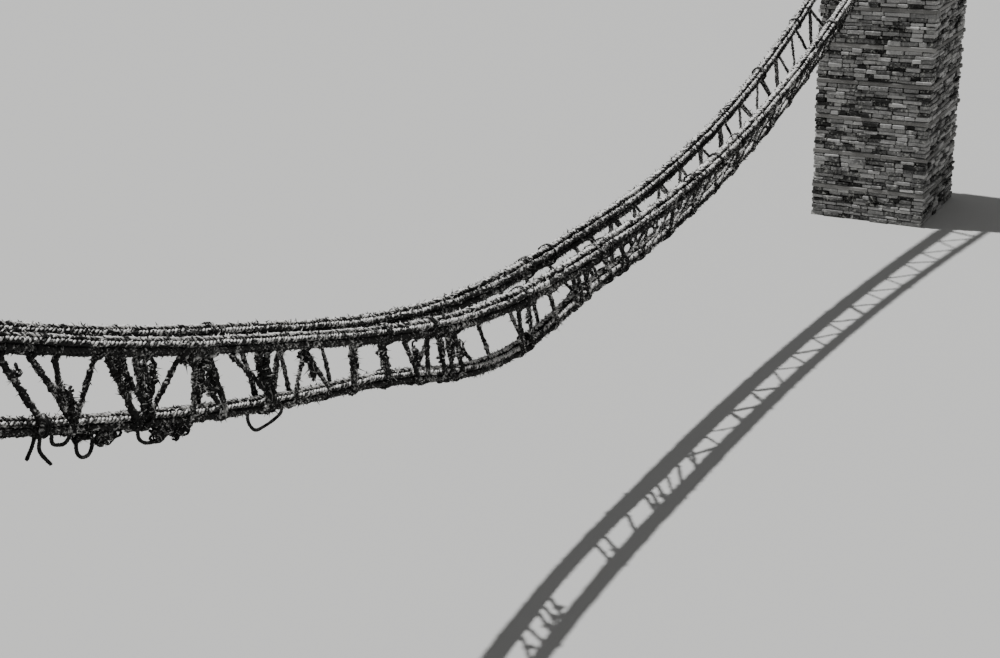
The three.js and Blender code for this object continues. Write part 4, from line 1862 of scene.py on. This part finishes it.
class Studio:
    """The camera, the lights and the floor."""

    CAMERA_PLACE = Vector((-20.40, -10.56, 12.09))
    YAW = math.radians(32.48)
    PITCH = math.radians(22.66)
    ROLL = math.radians(-2.85)
    LENS = 50.0
    SENSOR = 36.0
    CLIP = (0.1, 500.0)
    SUN_FROM = Vector((-0.07, 0.32, 1.0))
    SUN_STRENGTH = 4.4
    SUN_SPREAD = math.radians(1.2)
    FILL_STRENGTH = 0.25
    SKY_COLOUR = (0.82, 0.82, 0.82, 1.0)
    FLOOR_HALF = 150.0
    FLOOR_COLOUR = (0.52, 0.52, 0.51, 1.0)

    def build(self) -> None:
        """Sets them all up."""
        self._camera()
        self._lights()
        self._floor()

    def _camera(self) -> None:
        """Makes the camera at the photograph's place and angle."""
        level = Vector((math.cos(self.YAW), math.sin(self.YAW), 0.0)) * math.cos(self.PITCH)
        forward = level - Vector((0.0, 0.0, math.sin(self.PITCH)))
        right = Vector((math.sin(self.YAW), -math.cos(self.YAW), 0.0))
        up = right.cross(forward)
        turned = right * math.cos(self.ROLL) + up * math.sin(self.ROLL)
        upright = up * math.cos(self.ROLL) - right * math.sin(self.ROLL)
        data = bpy.data.cameras.new("camera")
        data.lens = self.LENS
        data.sensor_width = self.SENSOR
        data.clip_start, data.clip_end = self.CLIP
        camera = bpy.data.objects.new("camera", data)
        turn = Matrix((turned, upright, -forward)).transposed()
        camera.matrix_world = Matrix.Translation(self.CAMERA_PLACE) @ turn.to_4x4()
        bpy.context.collection.objects.link(camera)
        bpy.context.scene.camera = camera

    def _lights(self) -> None:
        """Makes a key light from above and behind, and an even fill."""
        data = bpy.data.lights.new("key", "SUN")
        data.energy = self.SUN_STRENGTH
        data.angle = self.SUN_SPREAD
        key = bpy.data.objects.new("key", data)
        key.rotation_mode = "QUATERNION"
        key.rotation_quaternion = self.SUN_FROM.to_track_quat("Z", "Y")
        bpy.context.collection.objects.link(key)
        world = bpy.data.worlds.new("studio")
        world.use_nodes = True
        sky = world.node_tree.nodes["Background"]
        sky.inputs["Color"].default_value = self.SKY_COLOUR
        sky.inputs["Strength"].default_value = self.FILL_STRENGTH
        bpy.context.scene.world = world

    def _floor(self) -> None:
        """Lays a wide plain pale floor."""
        shape = bmesh.new()
        bmesh.ops.create_grid(shape, x_segments=1, y_segments=1, size=self.FLOOR_HALF)
        mesh = bpy.data.meshes.new("floor")
        shape.to_mesh(mesh)
        shape.free()
        material = bpy.data.materials.new("pale_floor")
        material.use_nodes = True
        shader = material.node_tree.nodes["Principled BSDF"]
        shader.inputs["Base Color"].default_value = self.FLOOR_COLOUR
        shader.inputs["Roughness"].default_value = 0.9
        mesh.materials.append(material)
        linked("floor", mesh)


def dress_hidden(nodes: dict[str, bpy.types.Object], palette: Palette) -> None:
    """Gives the ropes inside the cables, which no piece replaces, their finish.

    Args:
        nodes: The solids by name.
        palette: The finishes.
    """
    palette.dress(nodes["left_handrail_rope_7"], "handrail_rope")
    palette.dress(nodes["right_handrail_rope_7"], "handrail_rope")
    palette.dress(nodes["foot_rope_7"], "foot_rope")


def main() -> None:
    """Builds the bridge round its solids."""
    logging.basicConfig(level=logging.INFO, format="%(name)s: %(message)s")
    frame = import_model()
    palette = Palette()
    Studio().build()
    for name, route in SLACK_ROUTES.items():
        SlackRope(name, route).build(palette)
    Cable("left_handrail", RAIL_LINES[Side.LEFT], "handrail_rope").build(palette)
    Cable("right_handrail", RAIL_LINES[Side.RIGHT], "handrail_rope").build(palette)
    Cable("foot", FOOT_LINE, "foot_rope", FOOT_SHADE, OPEN_FURROW).build(palette)
    for side in Side:
        for end in End:
            SideLacing(side, end).build(palette)
    for end in End:
        Abutment(end).build(palette)
    dress_hidden(frame["nodes"], palette)


if __name__ == "__main__":
    main()
